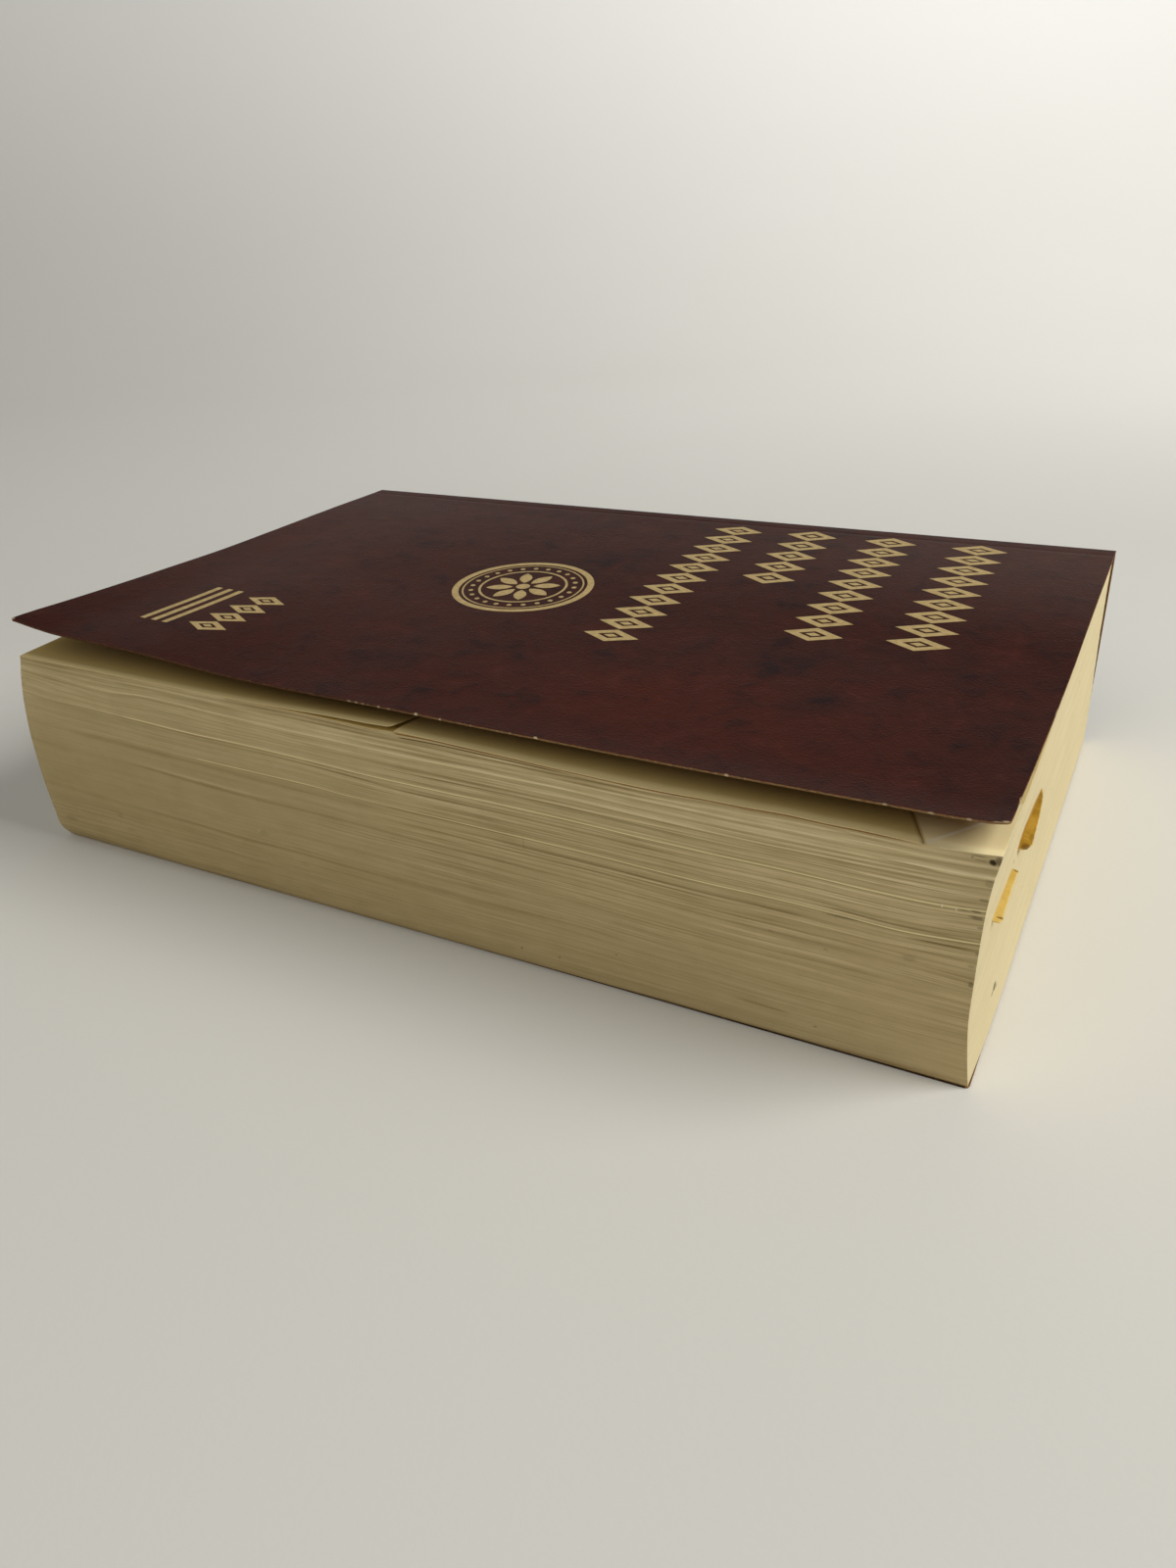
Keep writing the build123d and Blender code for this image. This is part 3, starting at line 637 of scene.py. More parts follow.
def page_look():
    """Flat face of an old leaf: fibres, faint waves of tone, browner towards its edges partly from age and partly as
    painted shade under the cover, with painted light on the torn corner.
    """
    k = Look("leaf_page")
    tone = k.attribute("tone")
    fibre = k.noise(k.vector("MULTIPLY", k.mm, (1.0, 2.2, 1.0)), 1.3, 3.0, 0.6)
    cloud = k.noise(k.mm, 0.03, 3.0, 0.55)
    fox = k.span(k.noise(k.mm, 0.16, 2.0, 0.6, 0.4), 0.66, 0.80)
    away = k.math("MINIMUM", k.math("ADD", k.y, 1.0), k.math("ADD", k.x, 1.0))
    aged_and_shaded = k.span(k.math("ADD", away, k.math("MULTIPLY", k.math("SUBTRACT", cloud, 0.5), 14.0)), 16.0, 0.0)
    g = k.math("MULTIPLY", tone, k.math("MULTIPLY_ADD", fibre, 0.06, 0.97))
    g = k.math("MULTIPLY", g, k.math("MULTIPLY_ADD", cloud, 0.08, 0.96))
    # the line of an old fold across the corner, and the corner beyond the torn end paler and brighter: partly paler
    # paper, partly painted light where the cover's shade falls, with a painted highlight on the fold line
    bend = k.math("MULTIPLY_ADD", k.math("MULTIPLY", k.y, k.y), FOLD_LINE[2], k.math("MULTIPLY_ADD", k.y, FOLD_LINE[1], FOLD_LINE[0]))
    across = k.math("MULTIPLY", k.math("SUBTRACT", k.x, bend), 0.72)
    here = k.math("MULTIPLY", k.math("GREATER_THAN", k.z, 40.0), k.span(k.y, 17.0, 14.0))
    here = k.math("MULTIPLY", here, k.span(k.math("MULTIPLY_ADD", k.y, 0.51, k.x), 204.7, 205.3))
    side = k.math("MULTIPLY_ADD", k.span(across, -0.05, 0.35), -0.02, 0.28)
    g = k.math("MULTIPLY", g, k.math("MULTIPLY_ADD", here, side, 1.0))
    base = k.gain(PAGE_PAPER, g)
    aged_and_shaded = k.math("MULTIPLY", aged_and_shaded, k.math("MULTIPLY_ADD", here, -0.85, 1.0))
    # browner band within 16 mm of the edges: age, and painted shade, strongest beyond the lit strip under the cover
    base = k.mix(k.math("MULTIPLY", aged_and_shaded, k.span(k.y, 1.2, 3.4, 0.25, 0.60)), base, srgb(206, 178, 96))
    base = k.mix(k.math("MULTIPLY", here, 0.30), base, srgb(246, 234, 196))
    base = k.mix(k.math("MULTIPLY", fox, 0.10), base, srgb(178, 140, 84))
    # the fold line: paler cracked fibres and a painted highlight
    fold_crack_and_highlight = k.span(k.math("ADD", k.math("ABSOLUTE", across), k.math("MULTIPLY", k.math("SUBTRACT", fibre, 0.5), 0.12)), 0.42, 0.15)
    base = k.mix(k.math("MULTIPLY", k.math("MULTIPLY", fold_crack_and_highlight, here), 0.95), base, srgb(254, 244, 210))
    base = k.mix(k.attribute("brown"), base, srgb(124, 84, 40))
    k.bump((fibre, 0.02), (k.noise(k.mm, 0.35, 2.0), 0.05))
    return k.finish(base, k.math("MULTIPLY_ADD", fibre, 0.08, 0.84), 0.12)


page_paper = page_look()

CHIPS = [
    # x along the fore-edge of the cover, half length, depth in, how pale
    (94.0, 0.5, 0.16, 0.40), (95.6, 0.4, 0.18, 0.45), (97.2, 0.4, 0.14, 0.35), (100.9, 0.35, 0.22, 0.55), (103.3, 0.3, 0.16, 0.30),
    (109.45, 0.40, 0.45, 1.0), (114.9, 0.22, 0.20, 0.6), (121.6, 0.18, 0.14, 0.35), (135.2, 0.42, 0.45, 1.0),
    (171.6, 0.40, 0.26, 0.8), (197.9, 0.40, 0.26, 0.6), (205.0, 0.6, 0.20, 0.45), (210.7, 0.4, 0.22, 0.6),
]


def cover_look(name, marbled=True):
    """Dark red printed card with a fine leather grain, mottled, worn pale at its rim."""
    k = Look(name)
    red, blot, rim = k.attribute("red"), k.attribute("blot"), k.attribute("rim")
    flat = k.combine(k.x, k.y, k.z)
    cloud = k.noise(flat, 0.045, 5.0, 0.62, 0.3)
    mottle = k.noise(flat, 0.15, 5.0, 0.66, 0.35)
    speck = k.noise(flat, 0.62, 3.0, 0.6, 0.4)
    grain = k.cells(k.vector("ADD", flat, k.vector("SCALE", k.combine(speck, mottle, speck), 0.5)), 1.9, "SMOOTH_F1")
    pore = k.noise(flat, 3.4, 2.0, 0.6)
    warm = k.math("ADD", k.math("MULTIPLY", red, 0.75), k.math("MULTIPLY", k.math("SUBTRACT", cloud, 0.5), 1.5), clamp=True)
    base = k.mix(warm, srgb(58, 26, 20), srgb(70, 26, 14))
    dark = k.math("ADD", k.math("MULTIPLY", k.span(mottle, 0.50, 0.70), 0.72), k.math("MULTIPLY", blot, k.span(mottle, 0.30, 0.62)), clamp=True)
    base = k.mix(dark, base, srgb(35, 18, 18))
    base = k.mix(k.math("MULTIPLY", k.span(mottle, 0.46, 0.26), 0.45), base, srgb(83, 37, 28))
    g = k.math("MULTIPLY", k.math("MULTIPLY_ADD", speck, 0.46, 0.77), k.math("MULTIPLY_ADD", pore, 0.30, 0.85))
    g = k.math("MULTIPLY", g, k.math("MULTIPLY_ADD", grain, -0.12, 1.05))
    base = k.vector("SCALE", base, g)
    # painted sheen: paler print towards the far head corner, where the gloss catches the light
    painted_sheen = k.math("MULTIPLY", k.span(k.y, 70.0, 139.0), k.span(k.x, 90.0, 216.0))
    base = k.mix(k.math("MULTIPLY", k.math("MULTIPLY", painted_sheen, k.span(k.z, 46.0, 49.0)), 0.14), base, srgb(132, 112, 106))
    # painted sheen: paler towards the far tail side
    rubbed = k.math("MULTIPLY", k.span(k.x, 115.0, 10.0), k.span(k.y, 10.0, 60.0))
    base = k.mix(k.math("MULTIPLY", k.math("MULTIPLY", rubbed, k.span(k.z, 46.0, 49.0)), 0.07), base, srgb(140, 104, 96))
    # worn rim: bare card shows in a thin broken line
    ragged = k.noise(k.mm, 1.1, 3.0, 0.65)
    worn = k.span(k.math("ADD", rim, k.math("MULTIPLY", k.math("SUBTRACT", ragged, 0.5), 0.55)), 0.16, 0.0)
    base = k.mix(k.math("MULTIPLY", worn, 0.60), base, srgb(134, 96, 64))
    chips = [(x, 0.0, 0.0, half, depth, pale) for x, half, depth, pale in CHIPS]
    corner = [(216.1, 0.6, 0.0, 0.75, 0.55, 0.65), (214.9, 0.25, 0.0, 0.9, 0.20, 0.45), (0.4, 0.5, 0.0, 0.6, 0.6, 0.6),
              (216.55, 10.4, 0.0, 0.14, 0.9, 0.95), (216.6, 47.0, 0.0, 0.10, 1.4, 0.5)]
    if marbled:
        base = k.mix(k.spots(chips + corner, (1, 1, 0), 0.3), base, srgb(212, 186, 146))
    k.bump((grain, 0.045), (pore, 0.035), (mottle, 0.10))
    rough = k.math("MULTIPLY_ADD", speck, 0.14, 0.27)
    return k.finish(base, rough, 0.016)


def core_look(name="card_core", dark_and_shaded=0.0):
    """Cut edge of the card: brown, fibrous, with pale flecks."""
    k = Look(name)
    along = k.combine(k.math("MULTIPLY", k.x, 1.2), k.math("MULTIPLY", k.y, 1.2), k.math("MULTIPLY", k.z, 5.0))
    fibre = k.noise(along, 1.0, 3.0, 0.7)
    fleck = k.span(k.noise(k.mm, 0.85, 3.0, 0.7), 0.56, 0.72)
    long = k.noise(k.mm, 0.06, 2.0)
    base = k.mix(k.span(fibre, 0.30, 0.70), srgb(112, 80, 50), srgb(168, 134, 92))
    base = k.mix(k.math("MULTIPLY", fleck, k.math("MULTIPLY_ADD", long, 0.9, 0.2)), base, srgb(214, 190, 148))
    # browner and darker towards the tail end
    base = k.mix(k.span(k.x, 135.0, 80.0, 0.0, 0.80), base, srgb(66, 36, 24))
    base = k.mix(k.spots([(x, 0.0, 0.0, half, 1.0, 0.9 * pale) for x, half, _, pale in CHIPS], (1, 0, 0), 0.3), base, srgb(232, 210, 170))
    # near black: partly the dark card, partly painted shade under the overhanging leaves
    base = k.mix(dark_and_shaded, base, srgb(34, 24, 18))
    k.bump((fibre, 0.10))
    return k.finish(base, 0.85, 0.1)


def inner_look():
    """Inner face of the cover: plain buff card, darkened to brown as painted shade that keeps the gap under the cover
    dark.
    """
    k = Look("card_inner")
    fibre = k.noise(k.vector("MULTIPLY", k.mm, (1.6, 0.9, 1.0)), 1.4, 3.0, 0.6)
    cloud = k.noise(k.mm, 0.035, 3.0, 0.55)
    base = k.mix(cloud, srgb(104, 68, 14), srgb(122, 82, 24))
    base = k.vector("SCALE", base, k.math("MULTIPLY_ADD", fibre, 0.08, 0.96))
    k.bump((fibre, 0.03), (cloud, 0.10))
    return k.finish(base, 0.80, 0.15)


def gold_look():
    """Matt gold print, a little rubbed."""
    k = Look("gold_print")
    rub = k.noise(k.mm, 0.9, 4.0, 0.65)
    grain = k.noise(k.mm, 4.0, 2.0, 0.6)
    base = k.mix(k.span(rub, 0.30, 0.75), srgb(206, 180, 122), srgb(180, 152, 98))
    base = k.mix(k.math("MULTIPLY", k.span(rub, 0.66, 0.80), 0.5), base, srgb(110, 74, 50))
    base = k.vector("SCALE", base, k.math("MULTIPLY_ADD", grain, 0.16, 0.92))
    k.bump((grain, 0.02))
    k.bsdf.inputs["Metallic"].default_value = 0.15
    return k.finish(base, k.math("MULTIPLY_ADD", rub, 0.2, 0.42), 0.35)


def glue_look():
    k = Look("binding_glue")
    lump = k.noise(k.mm, 0.5, 3.0, 0.6)
    base = k.mix(lump, srgb(196, 170, 116), srgb(224, 204, 156))
    k.bump((lump, 0.15))
    return k.finish(base, k.math("MULTIPLY_ADD", lump, 0.2, 0.35), 0.5)


def tab_look(name, deep, light, marks):
    """Coloured tab: mottled ochre, pale at its torn rim partly as fibres and partly as a painted highlight of the edge,
    with dark marks partly painted shadow.
    """
    k = Look(name)
    fibre = k.noise(k.mm, 1.8, 3.0, 0.65)
    cloud = k.noise(k.mm, 0.25, 3.0, 0.6, 0.6)
    rim = k.attribute("rim")
    base = k.mix(k.span(cloud, 0.30, 0.70), deep, light)
    base = k.vector("SCALE", base, k.math("MULTIPLY_ADD", fibre, 0.20, 0.90))
    # pale rim: partly frayed fibres, partly a painted highlight of the tab's edge
    base = k.mix(k.span(k.math("ADD", rim, k.math("MULTIPLY", k.math("SUBTRACT", fibre, 0.5), 0.5)), 0.22, 0.0, 0.0, 0.55), base, srgb(244, 222, 160))
    # dark marks: partly painted shadow at the tab's ends
    base = k.mix(k.spots(marks, (1, 1, 0), 0.3), base, srgb(96, 62, 18))
    k.bump((fibre, 0.05), (cloud, 0.10))
    return k.finish(base, 0.75, 0.15)


cover_outer = cover_look("cover_card_outer")
core = core_look()
# for the back cover's fore-edge: darkened partly as its dark card, partly as painted shade
dark_core = core_look("card_core_dark_and_shaded", 0.85)
inner = inner_look()
gold = gold_look()
glue = glue_look()


# ----- the leaves ----------------------------------------------------------------
def spaced(stops):
    """Places from rows of (from, to, step)."""
    out = []
    for a, b, step in stops:
        n = max(1, int(round((b - a) / step)))
        out.extend(np.linspace(a, b, n + 1)[:-1])
    out.append(stops[-1][1])
    return np.array(out)


xs = spaced([(0, 0.12, 0.12), (0.12, 0.5, 0.19), (0.5, 2, 0.75), (2, 94, 2.3), (94, 108, 1.0), (108, 196, 1.5), (196, 212, 1.0),
             (212, 215, 0.75), (215, 215.7, 0.35), (215.7, 215.9, 0.1)])
vs = np.array([0, .10, .25, .5, .9, 1.4, 2, 2.7, 3.5, 4.5, 5.5, 6.5, 7.5, 8.5, 9.5, 11, 12.5, 14, 16, 18.5, 21.5, 25, 29, 34,
               40, 47, 55, 65, 75, 85, 95, 105, 114, 122, 129, 134, 137, 138.7]) / LEAVES_BACK
levels = spaced([(0.4, 1.9, 0.09), (1.9, 25.0, 0.235), (25.0, 44.9, 0.125), (44.9, 47.32, 0.08), (47.32, 47.42, 0.05)])


def fore_grid():
    """Points, tone and mask of the fore-edge, [level][x]."""
    guide = fore_lines(xs)
    z = np.stack([np.interp(levels, LEVELS, guide[:, i]) for i in range(len(xs))], 1)
    leaf = np.repeat(levels[:, None], len(xs), 1)
    t = (xs / LENGTH)[None, :]
    x = shift(z) + (LENGTH + head_out(z, 0 * z) - shift(z)) * t
    relief, tone, seen, brown = fore_relief(x, z, leaf)
    away = smoothstep(xs / 0.6) * smoothstep((LENGTH - xs) / 0.6)
    corner = 0.05 * value_noise(levels / 0.22, 0.5, 41)[:, None] * (1 - smoothstep((LENGTH - xs) / 0.8))[None, :]
    relief = relief * away[None, :] - 0.10 + corner
    # rounded upper edge
    y = -bulge(z) * bulge_share(t) - relief
    tone = tone * (1 - 0.10 * smoothstep((xs - 206) / 9.0)[None, :] * smoothstep((z - 18) / 12.0))
    tone = tone * (1 + 0.05 * np.exp(-((xs[None, :] - 0.5) / 3.0) ** 2))
    tone = tone * (0.97 + 0.11 * smoothstep(xs / 216.0))[None, :]
    # darker towards the bottom, lighter towards the top
    tone = tone * (1 + 0.18 * smoothstep((z - 24) / 20.0) - 0.04 * smoothstep((26 - z) / 20.0))
    # painted shade of the cover's overhang along the top of the fore-edge
    tone = tone * (1 - 0.12 * smoothstep((leaf - 45.6) / 1.2) * smoothstep((190 - xs) / 60.0)[None, :])
    return np.stack([x, y, z], -1), tone, leaf, seen, brown


def relative(z):
    return (z - z[:1]) / (z[-1:] - z[:1])


fore, fore_tone, fore_leaf, fore_seen, fore_brown = fore_grid()
r_head = relative(fore[:, -1:, 2])
r_tail = relative(fore[:, :1, 2])
r_even = ((levels - levels[0]) / (levels[-1] - levels[0]))[:, None]
leaf_col = np.repeat(levels[:, None], len(vs), 1)
side_y = vs * LEAVES_BACK
blend = smoothstep(side_y / 75.0)[None, :]

# head face
top = stack_top(np.full_like(side_y, LENGTH), side_y)
top[0] = fore[-1, -1, 2]
z = 0.4 + (r_head * (1 - blend) + r_even * blend) * (top[None, :] - 0.4)
y = fore[:, -1:, 1] * (1 - vs)[None, :] + LEAVES_BACK * vs[None, :]
rough = (0.010 * value_noise(leaf_col / 0.13, y / 40.0, 51) + 0.018 * value_noise(leaf_col / 0.42, y / 46.0, 52)
         + 0.030 * value_noise(leaf_col / 1.9, y / 60.0, 53))
x = LENGTH + head_out(z, y) + (rough - 0.03) * smoothstep(side_y / 0.6)[None, :]
head = np.stack([x, y, z], -1)
head[:, 0] = fore[:, -1]
head_tone = 1 + 0.012 * value_noise(leaf_col / 0.15, y / 40.0, 54) + 0.012 * value_noise(leaf_col / 1.3, y / 60.0, 55)
for zc, wide, dark in ((35.1, 0.5, -0.05), (24.2, 0.35, -0.05), (41.9, 0.3, -0.05), (13.6, 0.4, -0.04), (30.9, 0.2, -0.05)):
    head_tone = head_tone + dark * np.exp(-(((leaf_col - zc) / wide) ** 2)) * (0.6 + 0.4 * value_noise(y / 20.0, zc, 56))

# tail face
top = stack_top(np.zeros_like(side_y), side_y)
top[0] = fore[-1, 0, 2]
z = 0.4 + (r_tail * (1 - blend) + r_even * blend) * (top[None, :] - 0.4)
y = fore[:, :1, 1] * (1 - vs)[None, :] + LEAVES_BACK * vs[None, :]
rough = (0.014 * value_noise(leaf_col / 0.13, y / 40.0, 61) + 0.022 * value_noise(leaf_col / 0.42, y / 46.0, 62)
         + 0.040 * value_noise(leaf_col / 1.9, y / 60.0, 63))
x = shift(z) * (1 - vs)[None, :] + (0.09 - rough) * smoothstep(side_y / 0.6)[None, :] * smoothstep((LEAVES_BACK - side_y) / 2.0)[None, :]
tail = np.stack([x, y, z], -1)
tail[:, 0] = fore[:, 0]
tail_tone = 1 + 0.030 * value_noise(leaf_col / 0.15, y / 40.0, 64) + 0.020 * value_noise(leaf_col / 1.3, y / 60.0, 65)

# back of the leaves: straight lines between the far columns of the tail and head faces
t = (xs / LENGTH)[:, None]
back_top = np.stack([tail[-1, -1, 0] * (1 - t[:, 0]) + head[-1, -1, 0] * t[:, 0], np.full(len(xs), LEAVES_BACK),
                     stack_top(xs, np.full_like(xs, LEAVES_BACK))], -1)
back_top[0], back_top[-1] = tail[-1, -1], head[-1, -1]
back_low = np.stack([tail[0, -1, 0] * (1 - t[:, 0]) + head[0, -1, 0] * t[:, 0], np.full(len(xs), LEAVES_BACK), np.full(len(xs), 0.4)], -1)
back_low[0], back_low[-1] = tail[0, -1], head[0, -1]

# top: a patch between the four upper edges
u, v = (xs / LENGTH)[None, :, None], vs[:, None, None]
near, far = fore[-1][None], back_top[None]
left, right = tail[-1][:, None], head[-1][:, None]
cap = ((1 - v) * near + v * far + (1 - u) * left + u * right
       - ((1 - u) * (1 - v) * near[:, :1] + u * (1 - v) * near[:, -1:] + (1 - u) * v * far[:, :1] + u * v * far[:, -1:]))
inside = np.zeros(cap.shape[:2], bool)
inside[1:-1, 1:-1] = True
cap[..., 2] = np.where(inside, stack_top(cap[..., 0], cap[..., 1]), cap[..., 2])
cap_y = np.repeat((vs * LEAVES_BACK)[:, None], len(xs), 1)
# painted light on the strip along the fore-edge, brightest at the head corner
cap_tone = 1 + (0.16 + 0.14 * smoothstep((cap[..., 0] - 203) / 3.0)) * smoothstep((2.4 - cap_y) / 1.3)
# painted shadow of the lifted flap beside the tear
cap_tone = cap_tone - 0.45 * smoothstep((cap[..., 0] - 72) / 14.0) * smoothstep((106 - cap[..., 0]) / 3.0) * smoothstep(cap_y / 0.5) * smoothstep((7 - cap_y) / 3.0)

book = Builder("tone", "leaf", "seen", "brown")
book.grid(fore, 0, tone=fore_tone, leaf=fore_leaf, seen=fore_seen, brown=fore_brown)
book.grid(head, 1, tone=head_tone, leaf=leaf_col, seen=0.45)
book.grid(tail, 2, tone=tail_tone, leaf=leaf_col, seen=0.6)
book.grid(cap, 3, tone=cap_tone)
book.polygon(np.concatenate([fore[0], head[0, 1:], back_low[-2::-1], tail[0, -2:0:-1]]), 3, tone=1.0)
book.polygon(np.concatenate([back_low, head[1:-1, -1], back_top[::-1], tail[-2:0:-1, -1]]), 2, tone=1.0, leaf=20.0, seen=0.3)


# ----- the torn first leaf, one thin sheet on the others ------------------------------
SLIT = [(0.0, 102.55, 104.10), (0.6, 103.45, 103.98), (2.4, 104.15, 104.22), (4.7, 104.55, 104.62), (8.0, 105.20, 105.24), (12.0, 106.3, 106.32), (15.0, 107.0, 107.0)]
LOST = [(0.0, 204.62), (1.28, 203.95), (2.38, 203.36), (3.52, 202.77), (4.73, 202.16), (6.0, 201.53), (7.5, 200.78), (11.5, 198.9), (15.5, 197.2), (19.0, 198.6), (22.0, 200.8), (24.0, 204.2), (26.0, 209.2), (28.0, 216.2)]
THICK = 0.09
sheet_y = np.array([0, .12, .3, .55, .9, 1.4, 2, 2.7, 3.5, 4.5, 5.6, 6.8, 8, 9.5, 11, 12.8, 15, 17, 19, 21, 22.5, 24, 25, 26, 27, 28, 31, 35, 41,
                    50, 62, 75, 88, 100, 112, 122, 131, 138.6])


def head_edge_of_leaves(y):
    z = stack_top(np.full_like(y, LENGTH), y)
    return LENGTH + head_out(z, y) - 0.03


def sheet_z(x, y, edge, near):
    """Upper face of the first leaf. edge gives its height along the fore-edge; near says how far in a lift reaches."""
    lift = hermite(edge, x) - hermite(STACK_EDGE, x) - 0.13
    lay = stack_top(x, y) + 0.13
    ripple = 0.05 * value_noise(x / 24.0, y / 16.0, 71) * smoothstep(y / 8.0)
    return lay + np.maximum(lift, 0) * np.exp(-((y / near) ** 1.6)) + np.maximum(ripple, -0.01)


def sheet_part(builder, x_from, x_to, count, edge, near, overhang, seed, end_brown=0.0):
    """One side of the first leaf; x_from and x_to are arrays over sheet_y."""
    f = count[None, :]
    x = x_from[:, None] * (1 - f) + x_to[:, None] * f
    yy = np.repeat(sheet_y[:, None], len(count), 1)
    fore_y = -bulge(47.3) * bulge_share(np.clip(x / LENGTH, 0, 1))
    stick = overhang + 0.05 * value_noise(x / 7.0, 0.5, seed)
    y = fore_y * (1 - yy / LEAVES_BACK) - stick * np.exp(-(yy / 2.5) ** 2) + yy
    z = sheet_z(x, np.maximum(yy, 0), edge, near)
    z = z - 0.05 * np.exp(-((yy / 0.5) ** 2))  # the very edge is soft and bends down
    upper = np.stack([x, y, z], -1)
    lower = upper - [0, 0, THICK]
    # painted light on the strip along the leaf's edge, and painted shade beyond it under the cover
    tone = 0.85 + 0.62 * smoothstep((2.2 - yy) / 1.4) + 0.02 * value_noise(x / 10.0, yy / 6.0, seed + 1)
    # the torn end has a browned rim
    browned_end = np.exp(-((np.maximum(x_to[:, None] - x - 0.15, 0) / 0.42) ** 2)) * smoothstep((21 - yy) / 8.0) * (0.75 + 0.25 * value_noise(yy / 1.4, 0.5, seed + 2)) * end_brown
    builder.grid(upper, 3, tone=tone, brown=browned_end)
    builder.grid(lower, 3, tone=tone, brown=browned_end)
    return upper, lower


def rim(builder, upper, lower, kind, tone, leaf=47.3):
    """The cut or torn edge between the faces of a sheet, along matching rows of points."""
    middle = (upper + lower) / 2
    builder.grid(np.stack([upper, middle, lower]), kind, tone=tone, leaf=leaf, seen=0.3)


slit = np.array(SLIT)
slit_a = np.where(sheet_y < 15, np.interp(sheet_y, slit[:, 0], slit[:, 1]), 107.0 + (sheet_y - 15) * 0.0)
slit_b = np.where(sheet_y < 15, np.interp(sheet_y, slit[:, 0], slit[:, 2]), 107.0 + (sheet_y - 15) * 0.0)
ragged = 0.10 * value_noise(sheet_y / 0.9, 0.5, 73) * smoothstep((14.5 - sheet_y) / 3.0)
slit_a = slit_a + ragged * (sheet_y > 0.3)
slit_b = slit_b + ragged * (sheet_y > 0.3)
left_x = 0.30 * (1 - sheet_y / LEAVES_BACK) + 0.05
right_x = np.where(sheet_y < 28, table(LOST, sheet_y) + 0.08 * value_noise(sheet_y / 1.3, 0.5, 75), head_edge_of_leaves(sheet_y))
right_x = np.minimum(right_x, head_edge_of_leaves(sheet_y))
part_a = spaced([(0, 0.02, 0.005), (0.02, 0.60, 0.022), (0.60, 0.97, 0.012), (0.97, 1.0, 0.006)])
part_b = spaced([(0, 0.02, 0.005), (0.02, 0.984, 0.0105), (0.984, 1.0, 0.0024)])
a_up, a_low = sheet_part(book, left_x, slit_a, part_a, FIRST_A, 7.0, 0.02, 77)
b_up, b_low = sheet_part(book, slit_b, right_x, part_b, FIRST_B, 5.0, 0.12, 79, 0.85)
# beyond the slit the two parts are one leaf: their shared column has one set of points
join = sheet_y >= 15
b_shift = a_up[join, -1] - b_up[join, 0]
book_points = book.points
for top_face, own in ((True, b_up), (False, b_low)):
    fade = np.exp(-((part_b * 112.0) / 6.0) ** 2)
    own[join] += b_shift[:, None, :] * fade[None, :, None]
# rewrite the two grids of part b with the joined column
book_points[-2] = b_up.reshape(-1, 3)
book_points[-1] = b_low.reshape(-1, 3)
# painted highlight on the edge of the first leaf along the fore-edge
rim(book, a_up[0], a_low[0], 0, 1.75)
rim(book, b_up[0], b_low[0], 0, 1.75)
rim(book, a_up[:, 0], a_low[:, 0], 2, 1.0)
rim(book, b_up[:, -1], b_low[:, -1], 1, np.repeat(np.where(sheet_y > 26.5, 1.0, 0.62)[None, :], 3, 0))
rim(book, a_up[-1], a_low[-1], 3, 1.0)
rim(book, b_up[-1], b_low[-1], 3, 1.0)
cut = int(np.argmax(join)) + 1
# the slit's edges a little brighter: painted highlight
rim(book, a_up[:cut, -1], a_low[:cut, -1], 3, 1.15)
rim(book, b_up[:cut, 0], b_low[:cut, 0], 3, 1.10)
text_block = book.write("text_block_leaves", [fore_paper, head_paper, tail_paper, page_paper])
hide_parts("text_block")
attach(text_block, "book_block")


# ----- front cover ---------------------------------------------------------------------
RED = [(150, 25, 48, 22, 1.0), (120, 38, 22, 12, 0.5), (182, 14, 26, 12, 0.6), (108, 28, 12, 8, 0.7), (205, 60, 10, 30, 0.3),
       (30, 30, 20, 8, 0.3), (95, 55, 18, 8, 0.3), (185, 45, 14, 8, 0.45), (60, 100, 20, 10, 0.15), (70, 42, 18, 6, 0.3)]
BLOT = [(163.5, 53, 5.5, 5.0, 0.95), (160, 57, 6, 4, 0.5), (177, 36, 3.6, 6, 0.95), (173, 30, 2.6, 4, 0.7), (181, 58, 2, 4, 0.5), (184, 63, 3, 3, 0.4),
        (200, 58, 4, 5, 0.55), (90, 22, 8, 5, 0.55), (80, 29, 5, 4, 0.45), (62.5, 14.3, 3.5, 2.2, 0.9), (146, 92, 7, 4, 0.75), (152, 84, 5, 6, 0.5),
        (138, 44, 5, 6, 0.45), (128, 40, 5, 4, 0.4), (118, 48, 6, 6, 0.4), (110, 36, 6, 4, 0.35), (72, 41, 6, 4, 0.45), (206, 104, 4, 6, 0.4), (104, 98, 7, 7, 0.45),
        (95, 92, 6, 5, 0.35), (45, 94, 9, 7, 0.30), (30, 60, 8, 6, 0.25), (14, 40, 8, 6, 0.2), (135, 24, 5, 4, 0.3), (148, 34, 4, 4, 0.3),
        (205, 24, 5, 7, 0.3), (196, 34, 3, 3, 0.3), (56, 68, 8, 5, 0.25), (101, 12, 6, 4, 0.25), (199, 84, 3, 7, 0.35), (86, 118, 10, 6, 0.25), (48, 12, 9, 5, 0.2)]


def patches(rows, x, y):
    out = np.zeros_like(x)
    for cx, cy, rx, ry, strength in rows:
        out = np.maximum(out, strength * np.exp(-(((x - cx) / rx) ** 2 + ((y - cy) / ry) ** 2)))
    return out


def cover_rows(y, x_from, x_to, xf):
    """x of each point, [y][x], between the two ends of each row."""
    return x_from[:, None] * (1 - xf)[None, :] + x_to[:, None] * xf[None, :]


